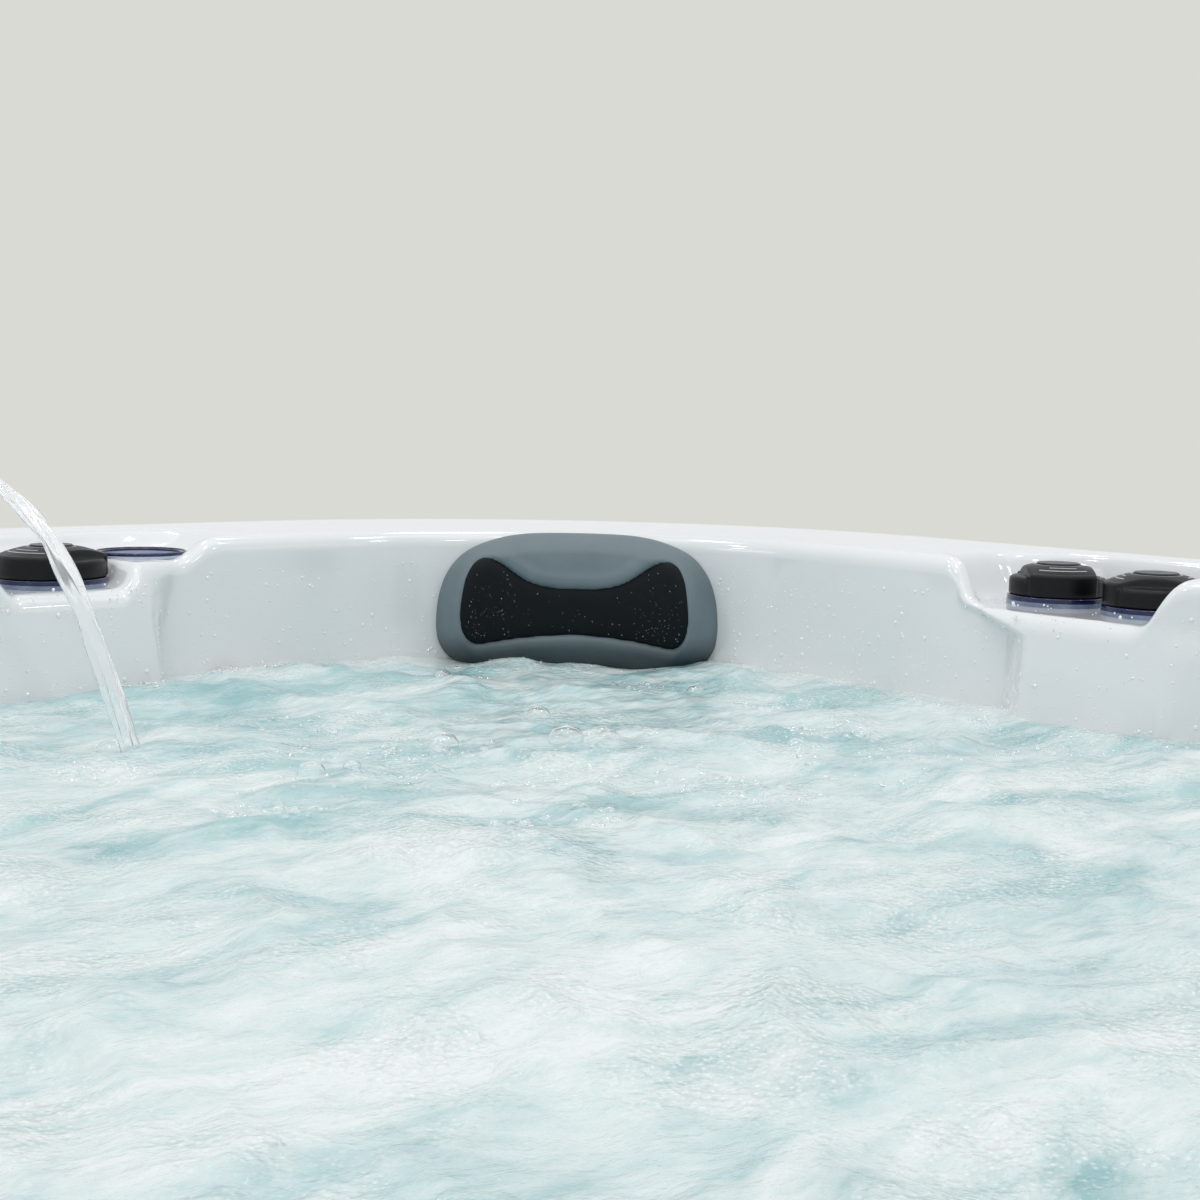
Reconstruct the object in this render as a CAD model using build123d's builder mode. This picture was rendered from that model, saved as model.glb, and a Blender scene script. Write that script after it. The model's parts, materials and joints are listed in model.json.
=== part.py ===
"""A square hot tub for five or six people.

Millimetres, +Z up. The origin is on the floor under the middle of the tub. The bowl is a moulded acrylic
shell whose lip rests on a framed cabinet. The rim has a sunken deck along each of its four sides for the
valves, the cup holders and the control panel. Three corners have a head pillow and the fourth has the filter.
"""

import os
from math import cos, degrees, radians, sin, sqrt, tan

from build123d import *

os.makedirs("parts", exist_ok=True)

# Overall size
tub_width = 2150
tub_height = 900

# Clearances
running_gap = 0.05
fitted_gap = 0.1
soft_gap = 0.3
free_gap = 0.5

# Shell: rim and lip
shell_wall = 8
lip_corner_radius = 550
lip_height = 55
lip_edge_radius = 28
rim_edge_radius = 10

# Shell: bowl, seats and footwell
bowl_half = 856
bowl_corner_radius = 350
bowl_draft = 3
seat_level = 430
seat_cove_radius = 60
footwell_half = 440
footwell_corner_radius = 170
footwell_draft = 6
floor_level = 150
floor_cove_radius = 45
seat_edge_radius = 28

# Shell: the right-hand deck, for the two air controls or the control panel
right_deck_depth = 42
right_deck_near = 112
right_deck_far = 356
right_deck_reach = 992
right_deck_corner_radius = 45

# Shell: the left-hand deck, for a cup holder, with a deeper place for a diverter valve
left_deck_depth = 20
left_deck_near = 122
left_deck_far = 410
left_deck_reach = 992
left_deck_corner_radius = 50
diverter_recess_radius = 55.5
diverter_recess_run = 24
diverter_recess_cove = 4
deck_cove_radius = 9

# Shell: the dividers between the seats, which stand proud of the wall below the decks
divider_depth = 22
divider_draft = 6
divider_corner_radius = 40
left_divider_depth = 38
right_divider_margin = 12
left_divider_margin = 8
divider_foot = 40

# Valves: places on the decks, and the sizes of the caps
right_valve_x = 934
right_valve_y = 289
near_valve_x = 925
near_valve_y = 182
diverter_x = 234
diverter_y = 886
control_cap_radius = 44.5
diverter_cap_radius = 49.5
cap_height = 21
cap_crown = 8
cap_band_share = 0.68
cap_side_drop = 5
valve_flange_height = 4
valve_ring_height = 4.5
valve_flange_overhang = 1
valve_body_radius = 30
valve_body_length = 95
valve_stem_radius = 14
valve_stem_depth = 60
cap_disc_radius = 19
cap_disc_height = 2.5

# Cup holders
cup_holder_x = 332
cup_holder_y = 905
cup_bore_radius = 36
cup_wall = 2.5
cup_depth = 78
cup_flange_radius = 43
cup_flange_height = 2.5
cup_ring_height = 3

# Pillows
pillow_width = 290
pillow_height = 147
pillow_rim_gap = 1
pillow_thickness = 44
pillow_edge_radius = 12
pillow_insert_depth = 9
pillow_insert_sink = 3
pillow_peg_radius = 6
pillow_peg_spacing = 150

# Jets
large_jet_drop = 290
large_jet_along = 260
large_jet_radius = 56
large_jet_bore = 36
small_jet_radius = 30
small_jet_bore = 20
small_jet_drops = (340, 250)
small_jet_swings = (-14, 14)
jet_flange_height = 5
jet_body_length = 52

# Suction grilles and light
grille_radius = 62
grille_bore = 34
grille_level = 264
light_radius = 58
light_bore = 40
light_level = 290

# Filter
filter_bore = 70
filter_wall = 4
filter_depth = 470
filter_flange_radius = 86
filter_flange_height = 5
lid_radius = 78
lid_height = 8
cartridge_radius = 55
cartridge_length = 225
cartridge_core = 20
mouth_width = 116
mouth_height = 84
mouth_drop = 184
weir_height = 62
weir_thickness = 4
weir_pin_radius = 3
weir_tilt = 34
weir_inset = 16
weir_sill = 8
lift_stem_radius = 8

# Control panel
panel_length = 186
panel_width = 92
panel_height = 9
display_length = 92
display_width = 46
button_radius = 9.5
button_height = 6
button_travel = 1.2

# Fountain
fountain_x = 70
fountain_y = 955
fountain_ball_radius = 15
fountain_ball_drop = 4
fountain_flange_radius = 29
fountain_flange_height = 3
fountain_spout_radius = 8
fountain_tilt = 12

# Cabinet
base_height = 30
base_floor = 8
base_border = 60
cabinet_inset = 20
panel_wall = 12
panel_drop = 38
plank_pitch = 104
groove_width = 6
groove_depth = 3
joint_gap = 2
frame_wood = 40
post_width = 60
screw_head_radius = 7
screw_head_height = 2.5
screw_margin = 40

# Pump, heater and controls
pump_x = -120
pump_y = -735
pump_height = 126
motor_radius = 82
motor_length = 265
volute_radius = 98
volute_length = 88
volute_wall = 8
impeller_radius = 70
impeller_length = 24
pump_shaft_radius = 9
pipe_radius = 25
pipe_wall = 3
manifold_half = 945
manifold_corner = 420
manifold_gap = 26
heater_radius = 34
heater_length = 360
heater_level = 230
control_box_length = 360
control_box_width = 110
control_box_height = 230
control_box_level = 420

# Drain
drain_level = 72
drain_x = -400
drain_radius = 13.2
drain_reach = 11
drain_cap_radius = 19
drain_cap_height = 15

right_deck_level = tub_height - right_deck_depth
left_deck_level = tub_height - left_deck_depth
pillow_top = tub_height - pillow_rim_gap
pillow_bottom = pillow_top - pillow_height
large_jet_level = tub_height - large_jet_drop
small_jet_levels = [tub_height - drop for drop in small_jet_drops]
mouth_bottom = tub_height - mouth_drop
panel_top = tub_height - panel_drop
screw_levels = (base_height + screw_margin, (base_height + panel_top) / 2, panel_top - screw_margin)
manifold_level = right_deck_level - valve_body_length - manifold_gap - pipe_radius
bowl_slope = tan(radians(bowl_draft))
cabinet_half = tub_width / 2 - cabinet_inset
cabinet_corner = lip_corner_radius - cabinet_inset
panel_inner_half = cabinet_half - panel_wall
panel_inner_corner = cabinet_corner - panel_wall
half_turn = Location((0, 0, 0), (0, 0, 180))


def export(piece, name):
    piece.label = name
    export_step(piece, f"parts/{name}.step")


def solid(*pieces):
    """One part from pieces that touch or overlap."""
    with BuildPart() as whole:
        add(pieces)
    return whole.part


def inward_plane(origin, bearing, draft):
    """A plane on a drafted wall. Its Z points into the bowl and its X lies level along the wall."""
    towards = Vector(-cos(radians(bearing)) * cos(radians(draft)), -sin(radians(bearing)) * cos(radians(draft)),
                     sin(radians(draft)))
    along = Vector(-sin(radians(bearing)), cos(radians(bearing)), 0)
    return Plane(origin=origin, x_dir=along, z_dir=towards)


def wall_plane(bearing, along, level, proud=0):
    """A plane on the flat part of the bowl's wall, on the side at this bearing."""
    out = bowl_half - (tub_height - level) * bowl_slope - proud
    turn = radians(bearing)
    return inward_plane((out * cos(turn) - along * sin(turn), out * sin(turn) + along * cos(turn), level),
                        bearing, bowl_draft)


def corner_plane(bearing, swing, level, proud=0):
    """A plane on the round wall of a corner, swung from the corner's own bearing about its middle."""
    out = bowl_corner_radius - (tub_height - level) * bowl_slope - proud
    middle = sqrt(2) * (bowl_half - bowl_corner_radius)
    turn = radians(bearing)
    faced = radians(bearing + swing)
    return inward_plane((middle * cos(turn) + out * cos(faced), middle * sin(turn) + out * sin(faced), level),
                        bearing + swing, bowl_draft)


def footwell_plane(bearing, along, level, proud=0):
    """A plane on the footwell's wall, on the side at this bearing."""
    out = footwell_half - (seat_level - level) * tan(radians(footwell_draft)) - proud
    turn = radians(bearing)
    return inward_plane((out * cos(turn) - along * sin(turn), out * sin(turn) + along * cos(turn), level),
                        bearing, footwell_draft)


def at_planes(piece, planes):
    """Copies of a piece, one on each plane."""
    return [piece.moved(plane.location) for plane in planes]


def bowl_space(grow):
    """The space inside the bowl and the footwell, grown on every side."""
    bowl_width = 2 * (bowl_half + grow)
    footwell_width = 2 * (footwell_half + grow)
    with BuildPart() as space:
        with BuildSketch(Plane.XY.offset(tub_height)):
            RectangleRounded(bowl_width, bowl_width, bowl_corner_radius + grow)
        extrude(amount=-(tub_height - seat_level + grow), taper=bowl_draft)
        fillet(space.edges().group_by(Axis.Z)[0], seat_cove_radius + grow)
        with BuildSketch(Plane.XY.offset(seat_level - grow)):
            RectangleRounded(footwell_width, footwell_width, footwell_corner_radius + grow)
        extrude(amount=-(seat_level - floor_level), taper=footwell_draft)
        mouth = space.edges().filter_by_position(Axis.Z, seat_level - grow - 0.1, seat_level - grow + 0.1)
        reach = (footwell_half + grow) * 1.05
        mouth = [e for e in mouth if max(abs(e.center().X), abs(e.center().Y)) < reach]
        fillet(mouth, seat_edge_radius - grow)
        fillet(space.edges().group_by(Axis.Z)[0], floor_cove_radius + grow)
    return space.part


def deck_block(low, high, inner, reach, bottom, top, corner):
    """A block on the +X side from y low to high, with its outer corners rounded."""
    with BuildPart() as block:
        with BuildSketch(Plane.XY.offset(bottom)):
            with Locations(((inner + reach) / 2, (low + high) / 2)):
                Rectangle(reach - inner, high - low)
            outer = [v for v in vertices() if v.X > (inner + reach) / 2]
            fillet(outer, corner)
        extrude(amount=top - bottom)
    return block.part


def right_deck_space(grow, top):
    """The space above the right-hand deck on the +X side."""
    with BuildPart() as space:
        add(deck_block(right_deck_near - grow, right_deck_far + grow, bowl_half - 70, right_deck_reach + grow,
                       right_deck_level - grow, top, right_deck_corner_radius + grow))
        floor_edges = space.edges().group_by(Axis.Z)[0]
        fillet([e for e in floor_edges if e.center().X > bowl_half - 60], deck_cove_radius + grow)
    return space.part


def left_deck_space(grow, top):
    """The space above the left-hand deck on the +Y side, with the deeper place for the diverter."""
    turned = Location((0, 0, 0), (0, 0, 90))
    with BuildPart() as space:
        add(deck_block(-left_deck_far - grow, -left_deck_near + grow, bowl_half - 70, left_deck_reach + grow,
                       left_deck_level - grow, top, left_deck_corner_radius + grow).moved(turned))
        floor_edges = space.edges().group_by(Axis.Z)[0]
        fillet([e for e in floor_edges if e.center().Y > bowl_half - 60], deck_cove_radius + grow)
    return space.part


def diverter_space(grow, top):
    """The deeper round-ended place around the diverter valve, open towards the bowl."""
    width = 2 * (diverter_recess_radius + grow)
    middle = diverter_x - diverter_recess_run / 2
    with BuildPart() as space:
        with BuildSketch(Plane.XY.offset(right_deck_level - grow)):
            with Locations((middle, diverter_y)):
                SlotCenterToCenter(diverter_recess_run, width)
            with Locations((middle, (diverter_y + bowl_half - 70) / 2)):
                Rectangle(width + diverter_recess_run, diverter_y - bowl_half + 70)
        extrude(amount=top - right_deck_level + grow)
        floor_edges = space.edges().group_by(Axis.Z)[0]
        fillet([e for e in floor_edges if e.center().Y > bowl_half - 60], diverter_recess_cove + grow)
    return space.part


def divider(low, high, depth, level, shrink):
    """The body of a divider on the +X side, below its deck, widening towards the seat."""
    inner = bowl_half - depth + shrink
    outer = bowl_half + 60
    with BuildPart() as block:
        with BuildSketch(Plane.XY.offset(level - shrink)):
            with Locations(((inner + outer) / 2, (low + high) / 2)):
                RectangleRounded(outer - inner, high - low - 2 * shrink, divider_corner_radius - shrink)
        extrude(amount=-(level - shrink - seat_level + divider_foot), taper=-divider_draft)
    return block.part


def deck_spaces(grow, top):
    """The spaces above all four decks. The two on the -X and -Y sides repeat the others, half a turn round."""
    pair = solid(right_deck_space(grow, top), left_deck_space(grow, top), diverter_space(grow, top))
    return [pair, half_turn * pair]


def dividers(shrink):
    """The four dividers, which are solid in the bowl's space."""
    turned = Location((0, 0, 0), (0, 0, 90))
    right = divider(right_deck_near - right_divider_margin, right_deck_far + right_divider_margin, divider_depth,
                    right_deck_level, shrink)
    left = divider(-left_deck_far - left_divider_margin, -left_deck_near + left_divider_margin,
                   left_divider_depth, left_deck_level, shrink)
    pair = [right, left.moved(turned)]
    return pair + [half_turn * piece for piece in pair]


# Places of the fittings
valve_spots = [(right_valve_x, right_valve_y), (near_valve_x, near_valve_y)]
diverter_spots = [(diverter_x, diverter_y), (-diverter_x, -diverter_y)]
cup_spots = [(cup_holder_x, cup_holder_y), (-cup_holder_x, -cup_holder_y)]
deck_valve_spots = valve_spots + diverter_spots
large_jet_sides = [(0, -large_jet_along), (90, large_jet_along), (180, -large_jet_along), (270, large_jet_along)]
large_jet_planes = [wall_plane(side, along, large_jet_level) for side, along in large_jet_sides]
small_jet_sagitta = small_jet_radius ** 2 / (2 * (bowl_corner_radius - 40))
small_jet_planes = [corner_plane(bearing, swing, level, small_jet_sagitta)
                    for bearing in (45, 135, 225, 315) for swing in small_jet_swings for level in small_jet_levels]
grille_planes = [footwell_plane(bearing, 0, grille_level) for bearing in (0, 180)]
light_plane = footwell_plane(270, 0, light_level)
pillow_bearings = (45, 135, 315)
filter_bearing = 225
filter_out = (sqrt(2) * (bowl_half - bowl_corner_radius) + bowl_corner_radius
              + (sqrt(2) * (tub_width / 2 - lip_corner_radius) + lip_corner_radius - lip_edge_radius)
              + rim_edge_radius) / 2
filter_place = Location((-filter_out / sqrt(2), -filter_out / sqrt(2), 0))
mouth_level = mouth_bottom + mouth_height / 2
mouth_plane = corner_plane(filter_bearing, 0, mouth_level)
peg_level = (pillow_bottom + pillow_top) / 2 + 10
peg_swing = degrees(pillow_peg_spacing / 2 / bowl_corner_radius)
peg_planes = [corner_plane(bearing, swing, peg_level) for bearing in pillow_bearings
              for swing in (-peg_swing, peg_swing)]
panel_place = Location((-(right_deck_reach + bowl_half) / 2 - 2, -(right_deck_near + right_deck_far) / 2,
                        right_deck_level))

# Forms that several pieces share
with BuildPart() as rim_form:
    with BuildSketch(Plane.XY.offset(tub_height - lip_height)):
        RectangleRounded(tub_width, tub_width, lip_corner_radius)
    extrude(amount=lip_height)
    fillet(rim_form.edges().group_by(Axis.Z)[-1], lip_edge_radius)

with BuildPart() as underside_form:
    with BuildSketch(Plane.XY.offset(tub_height - lip_height - 5)):
        RectangleRounded(tub_width - 2 * shell_wall, tub_width - 2 * shell_wall, lip_corner_radius - shell_wall)
    extrude(amount=lip_height + 5 - shell_wall)
    fillet(underside_form.edges().group_by(Axis.Z)[-1], lip_edge_radius - shell_wall)

outer_form = bowl_space(shell_wall)
for piece in dividers(shell_wall):
    outer_form = outer_form - piece
for piece in deck_spaces(shell_wall, tub_height - 2):
    outer_form = outer_form + piece

hollow_form = bowl_space(0)
for piece in dividers(0):
    hollow_form = hollow_form - piece
for piece in deck_spaces(0, tub_height + 10):
    hollow_form = hollow_form + piece


# Shell
with BuildPart() as shell:
    add(rim_form.part)
    add(underside_form.part, mode=Mode.SUBTRACT)
    add(outer_form)
    add(hollow_form, mode=Mode.SUBTRACT)
    rim_mouth = [e for e in shell.edges().filter_by_position(Axis.Z, tub_height - 0.01, tub_height + 0.01)
                 if max(abs(e.center().X), abs(e.center().Y)) < left_deck_reach + 1]
    fillet(rim_mouth, rim_edge_radius)
    with Locations([(x, y, right_deck_level) for x, y in deck_valve_spots]):
        Cylinder(valve_body_radius + fitted_gap, 4 * shell_wall, mode=Mode.SUBTRACT)
    with Locations([(x, y, left_deck_level) for x, y in cup_spots]):
        Cylinder(cup_bore_radius + cup_wall + fitted_gap, 2 * cup_depth, mode=Mode.SUBTRACT)
    with Locations([plane.location for plane in large_jet_planes]):
        Cylinder(large_jet_bore + fitted_gap, 6 * shell_wall, mode=Mode.SUBTRACT)
    with Locations([plane.location for plane in small_jet_planes]):
        Cylinder(small_jet_bore + fitted_gap, 6 * shell_wall, mode=Mode.SUBTRACT)
    with Locations([plane.location for plane in grille_planes]):
        Cylinder(grille_bore + fitted_gap, 6 * shell_wall, mode=Mode.SUBTRACT)
    with Locations(light_plane.location):
        Cylinder(light_bore + fitted_gap, 6 * shell_wall, mode=Mode.SUBTRACT)
    with Locations([plane.location for plane in peg_planes]):
        Cylinder(pillow_peg_radius + soft_gap, 6 * shell_wall, mode=Mode.SUBTRACT)
    with Locations(filter_place * Location((0, 0, tub_height))):
        Cylinder(filter_bore + filter_wall + fitted_gap, 4 * shell_wall, mode=Mode.SUBTRACT)
    with Locations(mouth_plane.location):
        Box(mouth_width + 2 * filter_wall + 2 * fitted_gap, mouth_height + 2 * filter_wall + 2 * fitted_gap,
            4 * shell_wall, mode=Mode.SUBTRACT)
    with Locations((fountain_x, fountain_y, tub_height)):
        Cylinder(fountain_ball_radius + 3 + fitted_gap, 4 * shell_wall, mode=Mode.SUBTRACT)
    with Locations(panel_place):
        Box(panel_width - 30, panel_length - 30, 4 * shell_wall, mode=Mode.SUBTRACT)
export(shell.part, "shell")


# Valves
def valve_cap(radius):
    """A turned cap with a raised band across it, a lower step at each side and a round place for its disc."""
    skirt = cap_height
    half_band = radius * cap_band_share
    with BuildPart() as cap:
        with BuildSketch(Plane.XZ):
            with BuildLine():
                Polyline((0, 0), (radius, 0), (radius, skirt - cap_side_drop - 4),
                         (radius - 4, skirt - cap_side_drop), (0, skirt - cap_side_drop + 2), (0, 0))
            make_face()
        revolve(axis=Axis.Z)
    with BuildPart() as band:
        with BuildSketch(Plane.XZ):
            with BuildLine():
                Polyline((0, 0), (radius, 0), (radius, skirt - 4), (radius - 4, skirt),
                         (cap_disc_radius + 4, skirt + cap_crown), (0, skirt + cap_crown), (0, 0))
            make_face()
        revolve(axis=Axis.Z)
        Box(4 * radius, 2 * half_band, 4 * skirt, mode=Mode.INTERSECT)
    with BuildPart() as whole:
        add(cap.part)
        add(band.part)
        with Locations((0, 0, skirt + cap_crown)):
            Cylinder(cap_disc_radius + fitted_gap, 2 * cap_disc_height, mode=Mode.SUBTRACT)
        with Locations((0, 0, 0)):
            Cylinder(valve_stem_radius + fitted_gap, 2 * 12, mode=Mode.SUBTRACT)
            Cylinder(radius - 4, 2 * 1.5, mode=Mode.SUBTRACT)
    return whole.part


def valve_stem():
    """The stem under a cap: it turns in the valve's body and ends in a half-round gate."""
    with BuildPart() as stem:
        with Locations((0, 0, 12)):
            Cylinder(valve_stem_radius, valve_stem_depth + 12, align=(Align.CENTER, Align.CENTER, Align.MAX))
        with Locations((0, 0, -valve_stem_depth)):
            Cylinder(valve_stem_radius, 24, align=(Align.CENTER, Align.CENTER, Align.MAX))
        with Locations((0, valve_stem_radius, -valve_stem_depth - 12)):
            Box(4 * valve_stem_radius, 2 * valve_stem_radius, 24, mode=Mode.SUBTRACT)
    return stem.part


def valve_body(cap_radius):
    """The fixed body below a deck: a flange, a threaded barrel, a nut and two pipe ports."""
    with BuildPart() as body:
        Cylinder(cap_radius + valve_flange_overhang, valve_flange_height,
                 align=(Align.CENTER, Align.CENTER, Align.MIN))
        Cylinder(valve_body_radius, valve_body_length, align=(Align.CENTER, Align.CENTER, Align.MAX))
        with Locations((0, 0, -valve_body_length + 22)):
            Cylinder(17, 84, rotation=(0, 90, 0))
        with Locations((0, 0, valve_flange_height)):
            Cylinder(valve_stem_radius + running_gap, valve_stem_depth + 28 + valve_flange_height,
                     align=(Align.CENTER, Align.CENTER, Align.MAX), mode=Mode.SUBTRACT)
        with Locations((0, 0, -valve_body_length + 22)):
            Cylinder(13, 100, rotation=(0, 90, 0), mode=Mode.SUBTRACT)
    return body.part


def valve_nut():
    """The ring nut that clamps a valve's body under its deck."""
    with BuildPart() as nut:
        with BuildSketch():
            RegularPolygon(40, 8)
            Circle(valve_body_radius + fitted_gap, mode=Mode.SUBTRACT)
        extrude(amount=-12)
    return nut.part


def valve_ring(cap_radius):
    """The clear ring between a cap and the flange below it."""
    with BuildPart() as ring:
        with BuildSketch():
            Circle(cap_radius + 0.5)
            Circle(valve_stem_radius + 4, mode=Mode.SUBTRACT)
        extrude(amount=valve_ring_height)
        fillet(ring.edges().group_by(Axis.Z)[-1].sort_by(SortBy.LENGTH)[-1], 1.5)
    return ring.part


ring_base = right_deck_level + valve_flange_height
cap_base = ring_base + valve_ring_height + free_gap
control_cap = valve_cap(control_cap_radius)
diverter_cap = valve_cap(diverter_cap_radius)
caps = {
    "right_control_1": (control_cap, right_valve_x, right_valve_y, 44),
    "right_control_2": (control_cap, near_valve_x, near_valve_y, 123),
    "left_diverter": (diverter_cap, diverter_x, diverter_y, 20),
    "front_diverter": (diverter_cap, -diverter_x, -diverter_y, 200),
}
with BuildPart() as cap_disc:
    Cylinder(cap_disc_radius, cap_disc_height, align=(Align.CENTER, Align.CENTER, Align.MAX))
    fillet(cap_disc.edges().group_by(Axis.Z)[-1], 0.8)
stem = valve_stem()
for name, (cap, x, y, turn) in caps.items():
    spot = Location((x, y, cap_base), (0, 0, turn))
    export(cap.moved(spot), f"{name}_cap")
    export(cap_disc.part.moved(spot * Location((0, 0, cap_height + cap_crown))), f"{name}_disc")
    export(stem.moved(spot), f"{name}_stem")

control_body = valve_body(control_cap_radius)
diverter_body = valve_body(diverter_cap_radius)
bodies = ([control_body.moved(Location((x, y, right_deck_level))) for x, y in valve_spots]
          + [diverter_body.moved(Location((x, y, right_deck_level))) for x, y in diverter_spots])
rings = ([valve_ring(control_cap_radius).moved(Location((x, y, ring_base))) for x, y in valve_spots]
         + [valve_ring(diverter_cap_radius).moved(Location((x, y, ring_base))) for x, y in diverter_spots])
nuts = [valve_nut().moved(Location((x, y, right_deck_level - shell_wall))) for x, y in deck_valve_spots]
export(Compound(children=bodies + nuts), "valve_bodies")
export(Compound(children=rings), "valve_rings")

# Cup holders
with BuildPart() as cup_holder:
    with BuildSketch(Plane.XZ):
        with BuildLine():
            Polyline((0, -cup_depth), (cup_bore_radius + cup_wall, -cup_depth), (cup_bore_radius + cup_wall, 0),
                     (cup_flange_radius, 0), (cup_flange_radius, cup_flange_height),
                     (cup_bore_radius, cup_flange_height), (cup_bore_radius, -cup_depth + cup_wall),
                     (0, -cup_depth + cup_wall), (0, -cup_depth))
        make_face()
    revolve(axis=Axis.Z)
    fillet(cup_holder.edges().filter_by_position(Axis.Z, -cup_depth + cup_wall - 0.01, -cup_depth + cup_wall + 0.01), 6)
with BuildPart() as cup_ring:
    with BuildSketch():
        Circle(cup_flange_radius)
        Circle(cup_bore_radius + 1, mode=Mode.SUBTRACT)
    extrude(amount=cup_ring_height)
    fillet(cup_ring.edges().group_by(Axis.Z)[-1], 1.2)
export(Compound(children=[cup_holder.part.moved(Location((x, y, left_deck_level))) for x, y in cup_spots]),
       "cup_holders")
export(Compound(children=[cup_ring.part.moved(Location((x, y, left_deck_level + cup_flange_height)))
                          for x, y in cup_spots]), "cup_holder_rings")

# Jets
with BuildPart() as large_jet_body:
    Cylinder(large_jet_radius, jet_flange_height, align=(Align.CENTER, Align.CENTER, Align.MIN))
    Cylinder(large_jet_bore, jet_body_length, align=(Align.CENTER, Align.CENTER, Align.MAX))
    with Locations((0, 22, -jet_body_length + 20)):
        Cylinder(12, 60, rotation=(90, 0, 0))
    with Locations((0, 0, -14)):
        Cylinder(large_jet_bore - 4, 40, align=(Align.CENTER, Align.CENTER, Align.MIN), mode=Mode.SUBTRACT)
    with Locations((0, 22, -jet_body_length + 20)):
        Cylinder(9, 70, rotation=(90, 0, 0), mode=Mode.SUBTRACT)
    Cylinder(20, 2 * (jet_body_length - 8), mode=Mode.SUBTRACT)
with BuildPart() as large_jet_face:
    with BuildSketch(Plane.XZ):
        with BuildLine():
            Polyline((0, -10), (large_jet_bore - 4 - running_gap, -10),
                     (large_jet_bore - 4 - running_gap, jet_flange_height + free_gap),
                     (large_jet_radius - 2, jet_flange_height + free_gap),
                     (large_jet_radius - 2, jet_flange_height + 2.5), (large_jet_radius - 8, jet_flange_height + 6),
                     (26, jet_flange_height + 8), (18, jet_flange_height + 3), (0, jet_flange_height + 3), (0, -10))
        make_face()
    revolve(axis=Axis.Z)
    with PolarLocations(9, 2):
        Cylinder(5.5, 60, mode=Mode.SUBTRACT)
    with PolarLocations(large_jet_radius - 14, 5):
        with Locations((0, 0, jet_flange_height + 2)):
            Cylinder(4.5, 8, align=(Align.CENTER, Align.CENTER, Align.MIN))
    with PolarLocations(large_jet_radius - 12, 5, start_angle=36):
        with Locations((0, 0, jet_flange_height + 9)):
            Cylinder(7, 5, mode=Mode.SUBTRACT)
export(Compound(children=at_planes(large_jet_body.part, large_jet_planes)), "large_jet_bodies")
for number, plane in enumerate(large_jet_planes, 1):
    export(large_jet_face.part.moved(plane.location), f"large_jet_face_{number}")

with BuildPart() as small_jet_body:
    Cylinder(small_jet_radius, 2, align=(Align.CENTER, Align.CENTER, Align.MIN))
    Cylinder(small_jet_bore, jet_body_length, align=(Align.CENTER, Align.CENTER, Align.MAX))
    with Locations((0, 20, -jet_body_length + 14)):
        Cylinder(9, 30, rotation=(90, 0, 0))
    with Locations((0, 0, 2)):
        Cylinder(small_jet_bore - 3, jet_body_length - 4, align=(Align.CENTER, Align.CENTER, Align.MAX),
                 mode=Mode.SUBTRACT)
    with Locations((0, 20, -jet_body_length + 14)):
        Cylinder(6, 40, rotation=(90, 0, 0), mode=Mode.SUBTRACT)
with BuildPart() as small_jet_face:
    with BuildSketch(Plane.XZ):
        with BuildLine():
            Polyline((6, -8), (small_jet_bore - 3 - fitted_gap, -8), (small_jet_bore - 3 - fitted_gap, 2),
                     (small_jet_radius, 2), (small_jet_radius, 4), (small_jet_radius - 6, 7), (15, 8), (9, 4),
                     (6, 4), (6, -8))
        make_face()
    revolve(axis=Axis.Z)
export(Compound(children=at_planes(small_jet_body.part, small_jet_planes)), "small_jet_bodies")
export(Compound(children=at_planes(small_jet_face.part, small_jet_planes)), "small_jet_faces")

# Suction grilles and light
with BuildPart() as grille:
    with BuildSketch(Plane.XZ):
        with BuildLine():
            Polyline((0, 0), (grille_radius, 0), (grille_radius, 3), (grille_radius - 10, 11), (0, 14), (0, 0))
        make_face()
    revolve(axis=Axis.Z)
    Cylinder(grille_bore, 40, align=(Align.CENTER, Align.CENTER, Align.MAX))
    with Locations((0, 0, -60)):
        Cylinder(grille_bore - 4, 68, align=(Align.CENTER, Align.CENTER, Align.MIN), mode=Mode.SUBTRACT)
    with PolarLocations(18, 8):
        Cylinder(4, 60, mode=Mode.SUBTRACT)
    with PolarLocations(30, 14):
        Cylinder(3, 60, mode=Mode.SUBTRACT)
    with PolarLocations(grille_radius - 6, 4, start_angle=45):
        with Locations((0, 0, 7)):
            Cylinder(3.2, 12, align=(Align.CENTER, Align.CENTER, Align.MIN), mode=Mode.SUBTRACT)
export(Compound(children=at_planes(grille.part, grille_planes)), "suction_grilles")

with BuildPart() as light_lens:
    with BuildSketch(Plane.XZ):
        with BuildLine():
            Polyline((0, 0), (light_radius, 0), (light_radius, 3), (light_radius - 6, 8), (20, 16), (0, 17),
                     (0, 0))
        make_face()
    revolve(axis=Axis.Z)
    Cylinder(light_bore, 42, align=(Align.CENTER, Align.CENTER, Align.MAX))
    with Locations((0, 0, -50)):
        Cylinder(light_bore - 3, 54, align=(Align.CENTER, Align.CENTER, Align.MIN), mode=Mode.SUBTRACT)
export(light_lens.part.moved(light_plane.location), "light_lens")


# Pillows
def corner_axis(bearing):
    """The place of a corner's upright axis, about which its wall is round."""
    middle = sqrt(2) * (bowl_half - bowl_corner_radius)
    return Location((middle * cos(radians(bearing)), middle * sin(radians(bearing)), 0))


def wall_radius(level):
    """The radius of a corner's wall at a height."""
    return bowl_corner_radius - (tub_height - level) * bowl_slope


def facing_plane(bearing):
    """An upright plane through a corner's axis. Its X runs level, its Y is up and its Z points outwards."""
    axis = corner_axis(bearing).position
    outwards = (cos(radians(bearing)), sin(radians(bearing)), 0)
    return Plane(origin=axis, x_dir=(-outwards[1], outwards[0], 0), z_dir=outwards)


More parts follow.
